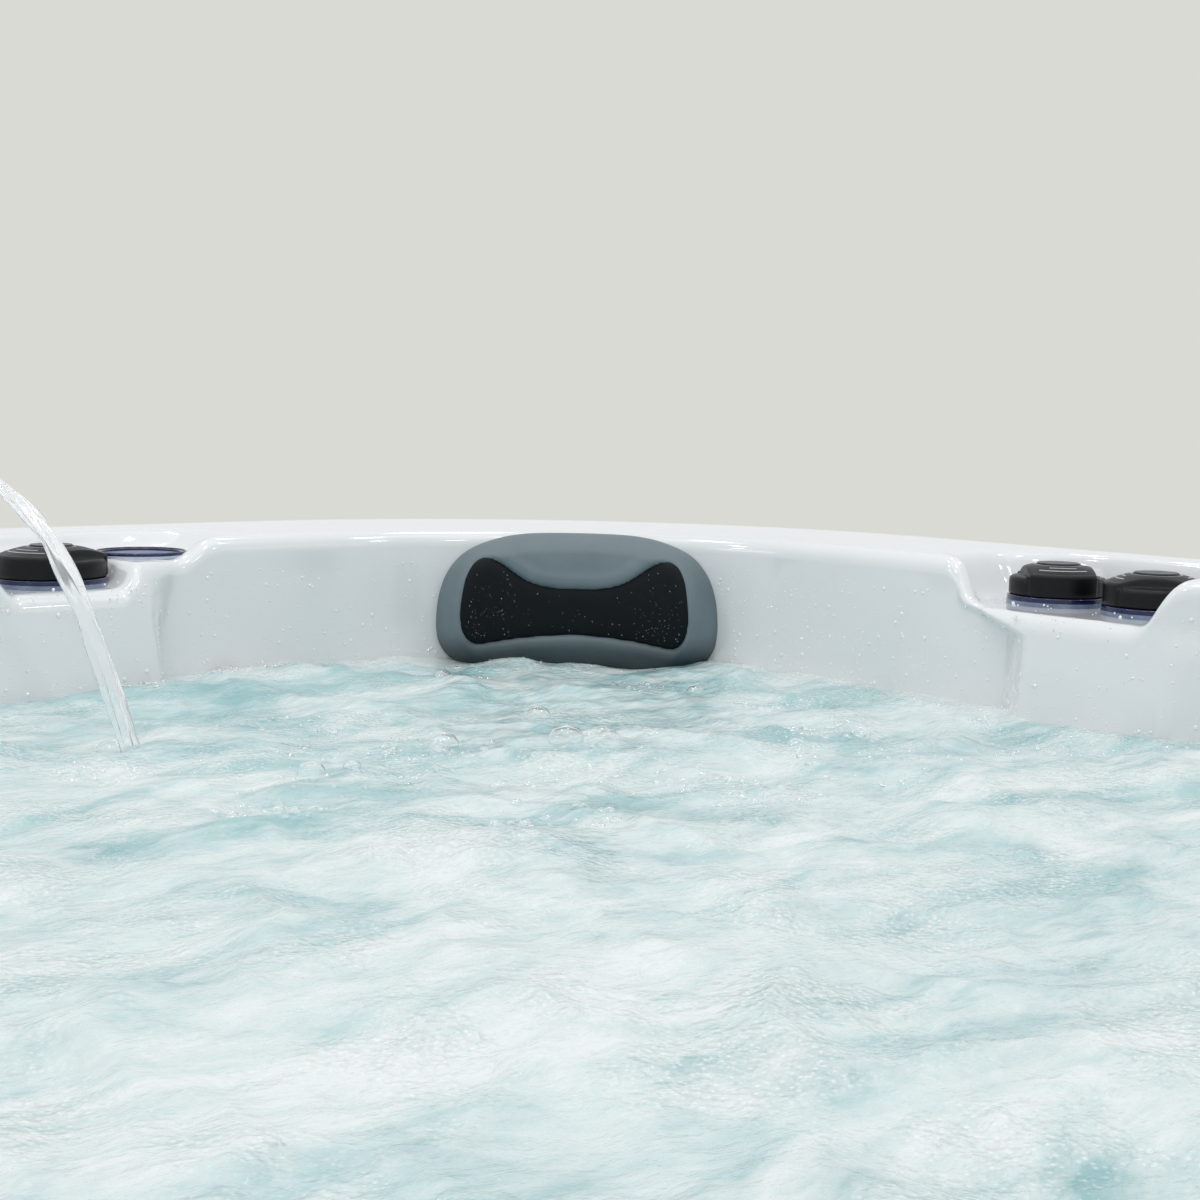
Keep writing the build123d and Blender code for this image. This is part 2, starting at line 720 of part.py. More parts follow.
def core(bearing, low_radius, high_radius, swell_radius=None):
    """The space about a corner's axis, out to the round wall or to the pillow's swelling front."""
    low = pillow_bottom - 10
    high = pillow_top + 10
    with BuildPart() as space:
        with BuildSketch(Plane.XZ):
            with BuildLine():
                if swell_radius is None:
                    Line((low_radius, low), (high_radius, high))
                else:
                    ThreePointArc((low_radius, low), (swell_radius, pillow_bottom + 62), (high_radius, high))
                Polyline((high_radius, high), (0, high), (0, low), (low_radius, low))
            make_face()
        revolve(axis=Axis.Z)
    return space.part.moved(corner_axis(bearing))


def wall_core(bearing, gap):
    """The space about a corner's axis, out to a gap short of its wall."""
    return core(bearing, wall_radius(pillow_bottom - 10) - gap, wall_radius(pillow_top + 10) - gap)


def cushion_core(bearing, depth):
    """The space about a corner's axis, out to a depth behind the pillow's front."""
    return core(bearing, wall_radius(pillow_bottom - 10) - pillow_thickness + 14 + depth,
                wall_radius(pillow_top + 10) - pillow_thickness + 24 + depth,
                wall_radius(pillow_bottom + 62) - pillow_thickness + depth)


def pillow_outline(bearing):
    """The pillow's outline, run outwards from the corner's axis."""
    half = pillow_width / 2
    with BuildPart() as block:
        with BuildSketch(facing_plane(bearing)):
            with BuildLine():
                Polyline((-half + 8, pillow_bottom), (half - 8, pillow_bottom), (half, pillow_bottom + 46),
                         (half - 24, pillow_top), (-half + 24, pillow_top), (-half, pillow_bottom + 46),
                         (-half + 8, pillow_bottom))
            make_face()
            fillet([v for v in vertices() if v.Z < pillow_bottom + 10], 36)
            fillet([v for v in vertices() if v.Z > pillow_top - 10], 62)
        extrude(amount=bowl_corner_radius + 20)
    return block.part


def insert_outline(bearing, grow):
    """The outline of the dark insert, like a bow tie, grown on every side and run outwards from the axis."""
    base = pillow_bottom
    top = [(0, 86), (42, 93), (72, 111), (90, 116), (108, 106)]
    side = [(117, 76), (117, 48)]
    foot = [(108, 30), (92, 25), (45, 31), (0, 34)]
    right = [(x * (1 + grow / 117), base + y + grow) for x, y in top]
    right += [(x + grow, base + y) for x, y in side]
    right += [(x * (1 + grow / 117), base + y - grow) for x, y in foot]
    left = [(-x, y) for x, y in right]
    with BuildPart() as block:
        with BuildSketch(facing_plane(bearing)):
            with BuildLine():
                Spline(right, tangents=((1, 0), (-1, 0)))
                Spline(left, tangents=((-1, 0), (1, 0)))
            make_face()
        extrude(amount=bowl_corner_radius + 20)
    return block.part


first_bearing = pillow_bearings[0]
first_axis = corner_axis(first_bearing).position
with BuildPart() as cushion:
    add((wall_core(first_bearing, soft_gap) & pillow_outline(first_bearing)) - cushion_core(first_bearing, 0))
    largest = cushion.faces().sort_by(SortBy.AREA)[-2:]
    cushion_front = min(largest, key=lambda face: (face.center() - first_axis).length)
    fillet(cushion_front.edges(), pillow_edge_radius)
with BuildPart() as pillow:
    add(cushion.part)
    with Locations([corner_plane(first_bearing, swing, peg_level).location for swing in (-peg_swing, peg_swing)]):
        Cylinder(pillow_peg_radius, shell_wall + 14, align=(Align.CENTER, Align.CENTER, Align.MAX))
        Cylinder(pillow_peg_radius, 8, align=(Align.CENTER, Align.CENTER, Align.MIN))
    add(cushion_core(first_bearing, pillow_insert_sink + pillow_insert_depth)
        & insert_outline(first_bearing, soft_gap), mode=Mode.SUBTRACT)
with BuildPart() as pillow_insert:
    add(cushion_core(first_bearing, pillow_insert_sink + pillow_insert_depth - soft_gap)
        & insert_outline(first_bearing, 0))
    add(cushion_core(first_bearing, pillow_insert_sink), mode=Mode.SUBTRACT)
for number, bearing in enumerate(pillow_bearings, 1):
    turned = Location((0, 0, 0), (0, 0, bearing - first_bearing))
    export(pillow.part.moved(turned), f"pillow_{number}")
    export(pillow_insert.part.moved(turned), f"pillow_insert_{number}")


# Filter
def round_core(bearing, gap, low, high):
    """The space about a corner's axis, out to a gap short of its wall, between two heights."""
    with BuildPart() as space:
        with BuildSketch(Plane.XZ):
            with BuildLine():
                Polyline((wall_radius(low) - gap, low), (wall_radius(high) - gap, high), (0, high), (0, low),
                         (wall_radius(low) - gap, low))
            make_face()
        revolve(axis=Axis.Z)
    return space.part.moved(corner_axis(bearing))


mouth_low = mouth_bottom - 60
mouth_high = mouth_bottom + mouth_height + 60
throat_length = filter_out - corner_axis(45).position.length - wall_radius(mouth_level)
with BuildPart() as filter_canister:
    with Locations(filter_place * Location((0, 0, tub_height))):
        Cylinder(filter_bore + filter_wall, filter_depth, align=(Align.CENTER, Align.CENTER, Align.MAX))
        Cylinder(filter_flange_radius, filter_flange_height, align=(Align.CENTER, Align.CENTER, Align.MIN))
    with Locations(filter_place * Location((0, 0, tub_height - filter_depth))):
        Cylinder(pipe_radius + 5, 40, align=(Align.CENTER, Align.CENTER, Align.MAX))
    with Locations(mouth_plane.location):
        Box(mouth_width + 2 * filter_wall, mouth_height + 2 * filter_wall, throat_length + 14,
            align=(Align.CENTER, Align.CENTER, Align.MAX))
        Box(mouth_width + 2 * filter_wall, mouth_height + 2 * filter_wall, 16,
            align=(Align.CENTER, Align.CENTER, Align.MIN))
    add(round_core(filter_bearing, 4, mouth_low, mouth_high), mode=Mode.SUBTRACT)
    with Locations(filter_place * Location((0, 0, tub_height + filter_flange_height))):
        Cylinder(filter_bore, filter_depth + filter_flange_height - filter_wall,
                 align=(Align.CENTER, Align.CENTER, Align.MAX), mode=Mode.SUBTRACT)
        Cylinder(lid_radius + free_gap, 3, align=(Align.CENTER, Align.CENTER, Align.MAX), mode=Mode.SUBTRACT)
    with Locations(filter_place * Location((0, 0, tub_height - filter_depth + filter_wall))):
        Cylinder(pipe_radius - pipe_wall, 60, align=(Align.CENTER, Align.CENTER, Align.MAX), mode=Mode.SUBTRACT)
    with Locations(mouth_plane.location):
        Box(mouth_width, mouth_height, throat_length, align=(Align.CENTER, Align.CENTER, Align.MAX),
            mode=Mode.SUBTRACT)
        Box(mouth_width, mouth_height, 20, align=(Align.CENTER, Align.CENTER, Align.MIN), mode=Mode.SUBTRACT)
    with Locations(mouth_plane.offset(-weir_inset).location):
        with Locations((0, mouth_height / 2 - weir_sill, 0)):
            Cylinder(weir_pin_radius + running_gap, mouth_width + filter_wall, rotation=(0, 90, 0),
                     mode=Mode.SUBTRACT)

with BuildPart() as mouth_frame:
    with BuildSketch(facing_plane(filter_bearing)):
        with Locations((0, mouth_level)):
            RectangleRounded(mouth_width + 44, mouth_height + 36, 14)
            Rectangle(mouth_width, mouth_height, mode=Mode.SUBTRACT)
    extrude(amount=bowl_corner_radius)
    add(round_core(filter_bearing, 0.05, mouth_low, mouth_high), mode=Mode.INTERSECT)
    add(round_core(filter_bearing, 4, mouth_low, mouth_high), mode=Mode.SUBTRACT)
    with Locations(mouth_plane.location):
        Box(mouth_width + 2 * filter_wall + fitted_gap, mouth_height + 2 * filter_wall + fitted_gap, 60,
            mode=Mode.SUBTRACT)

weir_spot = (mouth_plane.offset(-weir_inset).location
             * Location((0, mouth_height / 2 - weir_sill, 0), (weir_tilt, 0, 0)))
with BuildPart() as weir:
    with Locations((0, 1 - weir_pin_radius, 0)):
        Box(mouth_width - 4, weir_height, weir_thickness, align=(Align.CENTER, Align.MAX, Align.CENTER))
    Cylinder(weir_pin_radius, mouth_width + filter_wall - 1, rotation=(0, 90, 0))
    Cylinder(weir_pin_radius + 2, mouth_width - 4, rotation=(0, 90, 0))

with BuildPart() as filter_lid:
    Cylinder(lid_radius, lid_height, align=(Align.CENTER, Align.CENTER, Align.MIN))
    fillet(filter_lid.edges().group_by(Axis.Z)[-1], 3)
    Cylinder(filter_bore - 1, 12, align=(Align.CENTER, Align.CENTER, Align.MAX))
    with Locations((0, 0, lid_height)):
        with Locations((-24, 0, 0), (24, 0, 0)):
            Cylinder(12, 8, mode=Mode.SUBTRACT)
    with Locations((0, 0, -12)):
        Cylinder(lift_stem_radius + fitted_gap, 6, align=(Align.CENTER, Align.CENTER, Align.MIN),
                 mode=Mode.SUBTRACT)

cartridge_top = mouth_bottom - 14
lid_base = tub_height + filter_flange_height - 3
with BuildPart() as filter_cartridge:
    with Locations((0, 0, cartridge_top)):
        Cylinder(cartridge_radius, 12, align=(Align.CENTER, Align.CENTER, Align.MAX))
    with Locations((0, 0, cartridge_top - cartridge_length)):
        Cylinder(cartridge_radius, 12, align=(Align.CENTER, Align.CENTER, Align.MIN))
    with BuildSketch(Plane.XY.offset(cartridge_top - cartridge_length + 12)):
        Circle(cartridge_radius - 9)
        with PolarLocations(cartridge_radius - 9, 36):
            Rectangle(14, 4.2)
        Circle(cartridge_core, mode=Mode.SUBTRACT)
    extrude(amount=cartridge_length - 24)
    with Locations((0, 0, cartridge_top - cartridge_length)):
        Cylinder(cartridge_core, 12, align=(Align.CENTER, Align.CENTER, Align.MIN), mode=Mode.SUBTRACT)
    with Locations((0, 0, cartridge_top)):
        Cylinder(lift_stem_radius, lid_base - 6.5 - cartridge_top, align=(Align.CENTER, Align.CENTER, Align.MIN))

export(filter_canister.part, "filter_canister")
export(mouth_frame.part, "skimmer_frame")
export(weir.part.moved(weir_spot), "skimmer_weir")
export(filter_lid.part.moved(filter_place * Location((0, 0, lid_base))), "filter_lid")
export(filter_cartridge.part.moved(filter_place), "filter_cartridge")

# Control panel
panel_spot = panel_place * Location((0, 0, 0), (0, 0, 90))
button_places = [(-panel_length / 2 + 24, 14), (-panel_length / 2 + 24, -14),
                 (panel_length / 2 - 24, 14), (panel_length / 2 - 24, -14)]
with BuildPart() as panel_housing:
    with BuildSketch():
        RectangleRounded(panel_length, panel_width, 20)
    extrude(amount=panel_height)
    fillet(panel_housing.edges().group_by(Axis.Z)[-1], 3)
    Box(panel_length - 32, panel_width - 32, 42, align=(Align.CENTER, Align.CENTER, Align.MAX))
    with Locations((0, 0, -3)):
        Box(panel_length - 40, panel_width - 40, 60, align=(Align.CENTER, Align.CENTER, Align.MAX),
            mode=Mode.SUBTRACT)
    with Locations((0, 0, panel_height - 2)):
        Box(display_length + 0.4, display_width + 0.4, 4, align=(Align.CENTER, Align.CENTER, Align.MIN),
            mode=Mode.SUBTRACT)
    with Locations([(x, y, panel_height - 7) for x, y in button_places]):
        Cylinder(button_radius + 0.35, 12, align=(Align.CENTER, Align.CENTER, Align.MIN), mode=Mode.SUBTRACT)
with BuildPart() as panel_display:
    Box(display_length, display_width, 2, align=(Align.CENTER, Align.CENTER, Align.MIN))
    fillet(panel_display.edges().filter_by(Axis.Z), 3)
with BuildPart() as button:
    Cylinder(button_radius, button_height, align=(Align.CENTER, Align.CENTER, Align.MIN))
    fillet(button.edges().group_by(Axis.Z)[-1], 1)
export(panel_housing.part.moved(panel_spot), "panel_housing")
export(panel_display.part.moved(panel_spot * Location((0, 0, panel_height - 2))), "panel_display")
for number, (x, y) in enumerate(button_places, 1):
    export(button.part.moved(panel_spot * Location((x, y, panel_height - 7 + button_travel + 0.8))),
           f"panel_button_{number}")

# Fountain
fountain_spot = Location((fountain_x, fountain_y, tub_height))
with BuildPart() as fountain_body:
    Cylinder(fountain_flange_radius, fountain_flange_height, align=(Align.CENTER, Align.CENTER, Align.MIN))
    Cylinder(fountain_ball_radius + 3, 44, align=(Align.CENTER, Align.CENTER, Align.MAX))
    with Locations((0, 0, -fountain_ball_drop)):
        Sphere(fountain_ball_radius + soft_gap, mode=Mode.SUBTRACT)
        Cylinder(9, 60, align=(Align.CENTER, Align.CENTER, Align.MAX), mode=Mode.SUBTRACT)
with BuildPart() as fountain_nozzle:
    Sphere(fountain_ball_radius)
    Cylinder(fountain_spout_radius, fountain_ball_radius + 7, align=(Align.CENTER, Align.CENTER, Align.MIN))
    Cylinder(fountain_spout_radius - 2.5, fountain_ball_radius + 20,
             align=(Align.CENTER, Align.CENTER, Align.MIN), mode=Mode.SUBTRACT)
    Cylinder(fountain_spout_radius - 2.5, 2 * fountain_ball_radius,
             align=(Align.CENTER, Align.CENTER, Align.MAX), mode=Mode.SUBTRACT)
export(fountain_body.part.moved(fountain_spot), "fountain_body")
export(fountain_nozzle.part.moved(fountain_spot * Location((0, 0, -fountain_ball_drop), (fountain_tilt, 0, 0))),
       "fountain_nozzle")

# Cabinet
side_length = 2 * (cabinet_half - cabinet_corner)
groove_levels = [base_height + plank_pitch * (row + 1) for row in range(int((panel_top - base_height) / plank_pitch))]
screw_along = side_length / 2 - 12
side_screws = [(side, along, level) for side in (0, 90, 180, 270) for along in (-screw_along, screw_along)
               for level in screw_levels]
corner_angle = degrees(14 / cabinet_corner)
corner_screws = [(bearing, angle, level) for bearing in (45, 135, 225, 315)
                 for angle in (-45 + corner_angle, 45 - corner_angle) for level in screw_levels]


def out_plane(bearing, along, out, level):
    """An upright plane facing outwards from the side at this bearing. Its X runs along the side, its Y up."""
    turn = radians(bearing)
    return Plane(origin=(out * cos(turn) - along * sin(turn), out * sin(turn) + along * cos(turn), level),
                 x_dir=(-sin(turn), cos(turn), 0), z_dir=(cos(turn), sin(turn), 0))


def corner_out_plane(bearing, angle, level):
    """An upright plane on a corner panel's outer face, facing outwards."""
    middle = sqrt(2) * (cabinet_half - cabinet_corner)
    turn = radians(bearing)
    faced = radians(bearing + angle)
    return Plane(origin=(middle * cos(turn) + cabinet_corner * cos(faced),
                         middle * sin(turn) + cabinet_corner * sin(faced), level),
                 x_dir=(-sin(faced), cos(faced), 0), z_dir=(cos(faced), sin(faced), 0))


screw_planes = ([out_plane(side, along, cabinet_half, level) for side, along, level in side_screws]
                + [corner_out_plane(bearing, angle, level) for bearing, angle, level in corner_screws])
with BuildPart() as screw:
    Cylinder(screw_head_radius, screw_head_height, align=(Align.CENTER, Align.CENTER, Align.MIN))
    fillet(screw.edges().group_by(Axis.Z)[-1], 1)
    Cylinder(3, panel_wall + 16, align=(Align.CENTER, Align.CENTER, Align.MAX))
with BuildPart() as side_panel:
    with Locations((cabinet_half, 0, base_height)):
        Box(panel_wall, side_length - joint_gap, panel_top - base_height,
            align=(Align.MAX, Align.CENTER, Align.MIN))
    with Locations([(cabinet_half, 0, level) for level in groove_levels]):
        Box(2 * groove_depth, side_length, groove_width, mode=Mode.SUBTRACT)
    with Locations([out_plane(0, along, cabinet_half, level).location for along in (-screw_along, screw_along)
                    for level in screw_levels]):
        Cylinder(3.1, 40, mode=Mode.SUBTRACT)
with BuildPart() as corner_panel:
    with Locations((cabinet_half - cabinet_corner, cabinet_half - cabinet_corner, base_height)):
        Cylinder(cabinet_corner, panel_top - base_height, arc_size=90,
                 align=(Align.NONE, Align.NONE, Align.MIN))
        Cylinder(cabinet_corner - panel_wall, panel_top - base_height + 20,
                 align=(Align.CENTER, Align.CENTER, Align.MIN), mode=Mode.SUBTRACT)
    for level in groove_levels:
        with BuildSketch(Plane.XY.offset(level - groove_width / 2)):
            with Locations((cabinet_half - cabinet_corner, cabinet_half - cabinet_corner)):
                Circle(cabinet_corner + 10)
                Circle(cabinet_corner - groove_depth, mode=Mode.SUBTRACT)
        extrude(amount=groove_width, mode=Mode.SUBTRACT)
    with Locations([corner_out_plane(45, angle, level).location
                    for angle in (-45 + corner_angle, 45 - corner_angle) for level in screw_levels]):
        Cylinder(3.1, 40, mode=Mode.SUBTRACT)
with BuildPart() as front_panel:
    add(side_panel.part.moved(Location((0, 0, 0), (0, 0, 270))))
    with Locations((drain_x, -cabinet_half, drain_level)):
        Cylinder(drain_radius + 5 + fitted_gap, 60, rotation=(90, 0, 0), mode=Mode.SUBTRACT)
turns = [Location((0, 0, 0), (0, 0, angle)) for angle in (0, 90, 180, 270)]
export(Compound(children=[side_panel.part.moved(turn) for turn in turns[:3]]), "side_panels")
export(front_panel.part, "front_panel")
export(Compound(children=[corner_panel.part.moved(turn) for turn in turns]), "corner_panels")
export(Compound(children=at_planes(screw.part, screw_planes)), "panel_screws")

with BuildPart() as base_pan:
    with BuildSketch():
        RectangleRounded(2 * cabinet_half, 2 * cabinet_half, cabinet_corner)
    extrude(amount=base_height)
    with BuildSketch(Plane.XY.offset(base_floor)):
        RectangleRounded(2 * (cabinet_half - base_border), 2 * (cabinet_half - base_border),
                         cabinet_corner - base_border)
    extrude(amount=base_height, mode=Mode.SUBTRACT)
export(base_pan.part, "base_pan")

# Frame
with BuildPart() as panel_inside:
    with BuildSketch(Plane.XY.offset(base_height)):
        RectangleRounded(2 * panel_inner_half, 2 * panel_inner_half, panel_inner_corner)
    extrude(amount=tub_height)
post_spots = [(panel_inner_half - frame_wood / 2, along) for along in (-side_length / 2 + 15, side_length / 2 - 15)]
mid_along = 190
rim_plate_level = tub_height - shell_wall
with BuildPart() as posts:
    for turn in (0, 90, 180, 270):
        for x, y in post_spots:
            with Locations(Location((0, 0, 0), (0, 0, turn)) * Location((x, y, base_height))):
                Box(frame_wood, post_width, rim_plate_level - base_height,
                    align=(Align.CENTER, Align.CENTER, Align.MIN))
    with Locations((mid_along, -panel_inner_half + frame_wood / 2, base_height)):
        Box(post_width, frame_wood, rim_plate_level - base_height, align=(Align.CENTER, Align.CENTER, Align.MIN))
    add(panel_inside.part, mode=Mode.INTERSECT)
    with Locations([plane.location for plane in screw_planes]):
        Cylinder(3.05, 2 * (panel_wall + 18), mode=Mode.SUBTRACT)
rail_length = side_length - 30 - post_width
with BuildPart() as rails:
    for turn in (0, 90, 180):
        for level in (base_height, rim_plate_level - frame_wood):
            with Locations(Location((0, 0, 0), (0, 0, turn))
                           * Location((panel_inner_half - frame_wood / 2, 0, level))):
                Box(frame_wood, rail_length, frame_wood, align=(Align.CENTER, Align.CENTER, Align.MIN))
    left_end = -side_length / 2 + 15 + post_width / 2
    spans = [(left_end, mid_along - post_width / 2), (mid_along + post_width / 2, -left_end)]
    for start, end in spans:
        for level in (base_height, rim_plate_level - frame_wood):
            with Locations(((start + end) / 2, -panel_inner_half + frame_wood / 2, level)):
                Box(end - start, frame_wood, frame_wood, align=(Align.CENTER, Align.CENTER, Align.MIN))
    with Locations((drain_x, -panel_inner_half, drain_level)):
        Cylinder(drain_radius + 5 + fitted_gap, 200, rotation=(90, 0, 0), mode=Mode.SUBTRACT)
export(posts.part, "frame_posts")
export(rails.part, "frame_rails")

# Pump
volute_place = Location((pump_x - volute_length / 2, pump_y, pump_height), (0, 90, 0))
outlet_level = pump_height + volute_radius - pipe_radius - volute_wall
with BuildPart() as pump_volute:
    Cylinder(volute_radius, volute_length)
    with Locations((0, 0, -volute_length / 2)):
        Cylinder(pipe_radius + 5, 30, align=(Align.CENTER, Align.CENTER, Align.MAX))
    with Locations((-(outlet_level - pump_height), 0, 0)):
        Cylinder(pipe_radius + 5, volute_radius + 14, rotation=(90, 0, 0),
                 align=(Align.CENTER, Align.CENTER, Align.MIN))
    Cylinder(volute_radius - volute_wall, volute_length - 2 * volute_wall, mode=Mode.SUBTRACT)
    with Locations((0, 0, -volute_length / 2 + 20)):
        Cylinder(pipe_radius - pipe_wall, 90, align=(Align.CENTER, Align.CENTER, Align.MAX), mode=Mode.SUBTRACT)
    with Locations((-(outlet_level - pump_height), 0, 0)):
        Cylinder(pipe_radius - pipe_wall, volute_radius + 40, rotation=(90, 0, 0),
                 align=(Align.CENTER, Align.CENTER, Align.MIN), mode=Mode.SUBTRACT)
    Cylinder(pump_shaft_radius + running_gap, volute_length, align=(Align.CENTER, Align.CENTER, Align.MIN),
             mode=Mode.SUBTRACT)
with BuildPart() as pump_impeller:
    Cylinder(impeller_radius, 4, align=(Align.CENTER, Align.CENTER, Align.MIN))
    with PolarLocations(impeller_radius / 2 + 6, 6):
        Box(impeller_radius - 18, 5, impeller_length, align=(Align.CENTER, Align.CENTER, Align.MAX))
    Cylinder(16, impeller_length, align=(Align.CENTER, Align.CENTER, Align.MAX))
    Cylinder(pump_shaft_radius, volute_length / 2 + 70, align=(Align.CENTER, Align.CENTER, Align.MIN))
with BuildPart() as pump_motor:
    with Locations((0, 0, volute_length / 2)):
        Cylinder(motor_radius - 12, 20, align=(Align.CENTER, Align.CENTER, Align.MIN))
    with Locations((0, 0, volute_length / 2 + 20)):
        Cylinder(motor_radius, motor_length - 20, align=(Align.CENTER, Align.CENTER, Align.MIN))
    fillet(pump_motor.edges().group_by(Axis.Z)[-1], 12)
    with Locations((0, 0, volute_length / 2 + 40)):
        with PolarLocations(motor_radius, 24):
            Box(6, 5, motor_length - 80, align=(Align.CENTER, Align.CENTER, Align.MIN))
    with Locations((pump_height - base_floor, 0, volute_length / 2 + 60)):
        Box(pump_height - base_floor - motor_radius + 20, 150, 150, align=(Align.MAX, Align.CENTER, Align.MIN))
    Cylinder(pump_shaft_radius + running_gap, volute_length / 2 + 80,
             align=(Align.CENTER, Align.CENTER, Align.MIN), mode=Mode.SUBTRACT)
export(pump_volute.part.moved(volute_place), "pump_volute")
export(pump_impeller.part.moved(volute_place), "pump_impeller")
export(pump_motor.part.moved(volute_place), "pump_motor")


# Pipes
def pipe(points, bend):
    """A pipe along straight runs with round bends."""
    with BuildPart() as run:
        with BuildLine() as path:
            FilletPolyline(*points, radius=bend)
        with BuildSketch(Plane(origin=path.line @ 0, z_dir=path.line % 0)):
            Circle(pipe_radius)
            Circle(pipe_radius - pipe_wall, mode=Mode.SUBTRACT)
        sweep()
    return run.part


volute_x = pump_x - volute_length / 2
outlet_end = pump_y - volute_radius - 14
canister_out = -filter_out / sqrt(2)
canister_foot = tub_height - filter_depth - 40
riser = pipe([(volute_x, outlet_end, outlet_level), (volute_x, -manifold_half, outlet_level),
              (volute_x, -manifold_half, manifold_level), (volute_x + 100, -manifold_half, manifold_level)], 35)
manifold = pipe([(volute_x + 100, -manifold_half, manifold_level),
                 (manifold_half, -manifold_half, manifold_level), (manifold_half, manifold_half, manifold_level),
                 (-manifold_half, manifold_half, manifold_level), (-manifold_half, -150, manifold_level)],
                manifold_corner)
suction = pipe([(canister_out, canister_out, canister_foot), (canister_out, canister_out, pump_height),
                (canister_out, pump_y, pump_height),
                (volute_x - volute_length / 2 - 30, pump_y, pump_height)], 38)
with BuildPart() as manifold_end:
    with Locations((-manifold_half, -150, manifold_level)):
        Cylinder(pipe_radius + 4, 12, rotation=(90, 0, 0))
export(Compound(children=[riser, manifold, suction, manifold_end.part]), "plumbing_pipes")

# Heater and controls
heater_x = (mid_along + side_length / 2 - 15) / 2
heater_y = -panel_inner_half + frame_wood + heater_radius
with BuildPart() as heater_tube:
    with Locations((heater_x, heater_y, heater_level)):
        Cylinder(heater_radius, heater_length, rotation=(0, 90, 0))
        Cylinder(heater_radius - 3, heater_length + 10, rotation=(0, 90, 0), mode=Mode.SUBTRACT)
    with Locations((heater_x - heater_length / 2 + 30, heater_y, heater_level),
                   (heater_x + heater_length / 2 - 30, heater_y, heater_level)):
        Box(20, 2 * heater_radius, 2 * heater_radius + 12)
        Cylinder(heater_radius - 3, 40, rotation=(0, 90, 0), mode=Mode.SUBTRACT)
with BuildPart() as control_box:
    with Locations((heater_x, -panel_inner_half + frame_wood, control_box_level)):
        Box(control_box_length, control_box_width, control_box_height,
            align=(Align.CENTER, Align.MIN, Align.CENTER))
    fillet(control_box.edges().filter_by(Axis.Y), 12)
export(heater_tube.part, "heater_tube")
export(control_box.part, "control_box")

# Drain
with BuildPart() as drain_valve:
    with Locations(Location((drain_x, -cabinet_half, drain_level), (90, 0, 0))):
        Cylinder(drain_radius + 9, 4, align=(Align.CENTER, Align.CENTER, Align.MIN))
        Cylinder(drain_radius, drain_reach + 4, align=(Align.CENTER, Align.CENTER, Align.MIN))
        Cylinder(drain_radius + 5, 120, align=(Align.CENTER, Align.CENTER, Align.MAX))
        with Locations((0, 0, 40)):
            Cylinder(drain_radius - 4, 150, align=(Align.CENTER, Align.CENTER, Align.MAX), mode=Mode.SUBTRACT)
with BuildPart() as drain_cap:
    with Locations(Location((drain_x, -cabinet_half - 4.5, drain_level), (90, 0, 0))):
        Cylinder(drain_cap_radius, drain_cap_height, align=(Align.CENTER, Align.CENTER, Align.MIN))
        Cylinder(drain_radius + running_gap, 2 * (drain_reach), mode=Mode.SUBTRACT)
        with Locations((0, 0, drain_cap_height / 2)):
            with PolarLocations(drain_cap_radius + 1, 10):
                Cylinder(2.4, drain_cap_height + 2, mode=Mode.SUBTRACT)
export(drain_valve.part, "drain_valve")
export(drain_cap.part, "drain_cap")
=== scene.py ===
import json
import math
import random

import bmesh
import bpy
import numpy as np
from mathutils import Matrix, Vector, noise


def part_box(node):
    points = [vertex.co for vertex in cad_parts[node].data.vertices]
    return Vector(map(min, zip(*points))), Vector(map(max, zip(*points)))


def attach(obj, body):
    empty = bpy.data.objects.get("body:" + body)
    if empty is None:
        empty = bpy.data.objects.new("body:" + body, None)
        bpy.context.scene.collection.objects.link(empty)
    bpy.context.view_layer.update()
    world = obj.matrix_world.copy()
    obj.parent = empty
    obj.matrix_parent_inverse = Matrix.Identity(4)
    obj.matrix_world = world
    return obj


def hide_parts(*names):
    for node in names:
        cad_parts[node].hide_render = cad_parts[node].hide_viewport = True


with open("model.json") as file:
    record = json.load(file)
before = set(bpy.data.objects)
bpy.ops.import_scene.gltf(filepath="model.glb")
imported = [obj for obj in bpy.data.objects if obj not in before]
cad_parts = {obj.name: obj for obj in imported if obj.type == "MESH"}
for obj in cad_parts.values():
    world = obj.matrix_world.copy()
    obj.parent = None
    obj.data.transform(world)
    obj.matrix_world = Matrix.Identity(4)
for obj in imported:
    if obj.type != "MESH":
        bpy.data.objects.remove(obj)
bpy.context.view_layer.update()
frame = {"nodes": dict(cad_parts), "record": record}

random.seed(7)
nodes = frame["nodes"]
scene = bpy.context.scene
scene.view_settings.view_transform = "Standard"
MM = 0.001

# ---------------------------------------------------------------- sizes, in millimetres
TUB_HALF, TUB_TOP = 1075.0, 900.0
BOWL_HALF, BOWL_RADIUS = 856.0, 350.0
STRAIGHT = BOWL_HALF - BOWL_RADIUS
LIP_STRAIGHT = 525.0
SLOPE = math.tan(math.radians(3))
WALL = 8.0
WATER = 769.0
SEAT, FLOOR = 430.0, 150.0
DIVERTER_RECESS = 54.5

# Colours as they look on screen, 0 to 255.
WATER_DEEP, WATER_MIDDLE, WATER_PALE = (138, 182, 186), (170, 205, 208), (196, 221, 222)
FOAM = (234, 240, 240)


def smooth(t):
    t = np.clip(t, 0.0, 1.0)
    return t * t * (3 - 2 * t)


def steep(t, power):
    """An S curve from 0 to 1 that is steeper in its middle as the power grows."""
    t = np.clip(t, 1e-6, 1 - 1e-6)
    return t ** power / (t ** power + (1 - t) ** power)


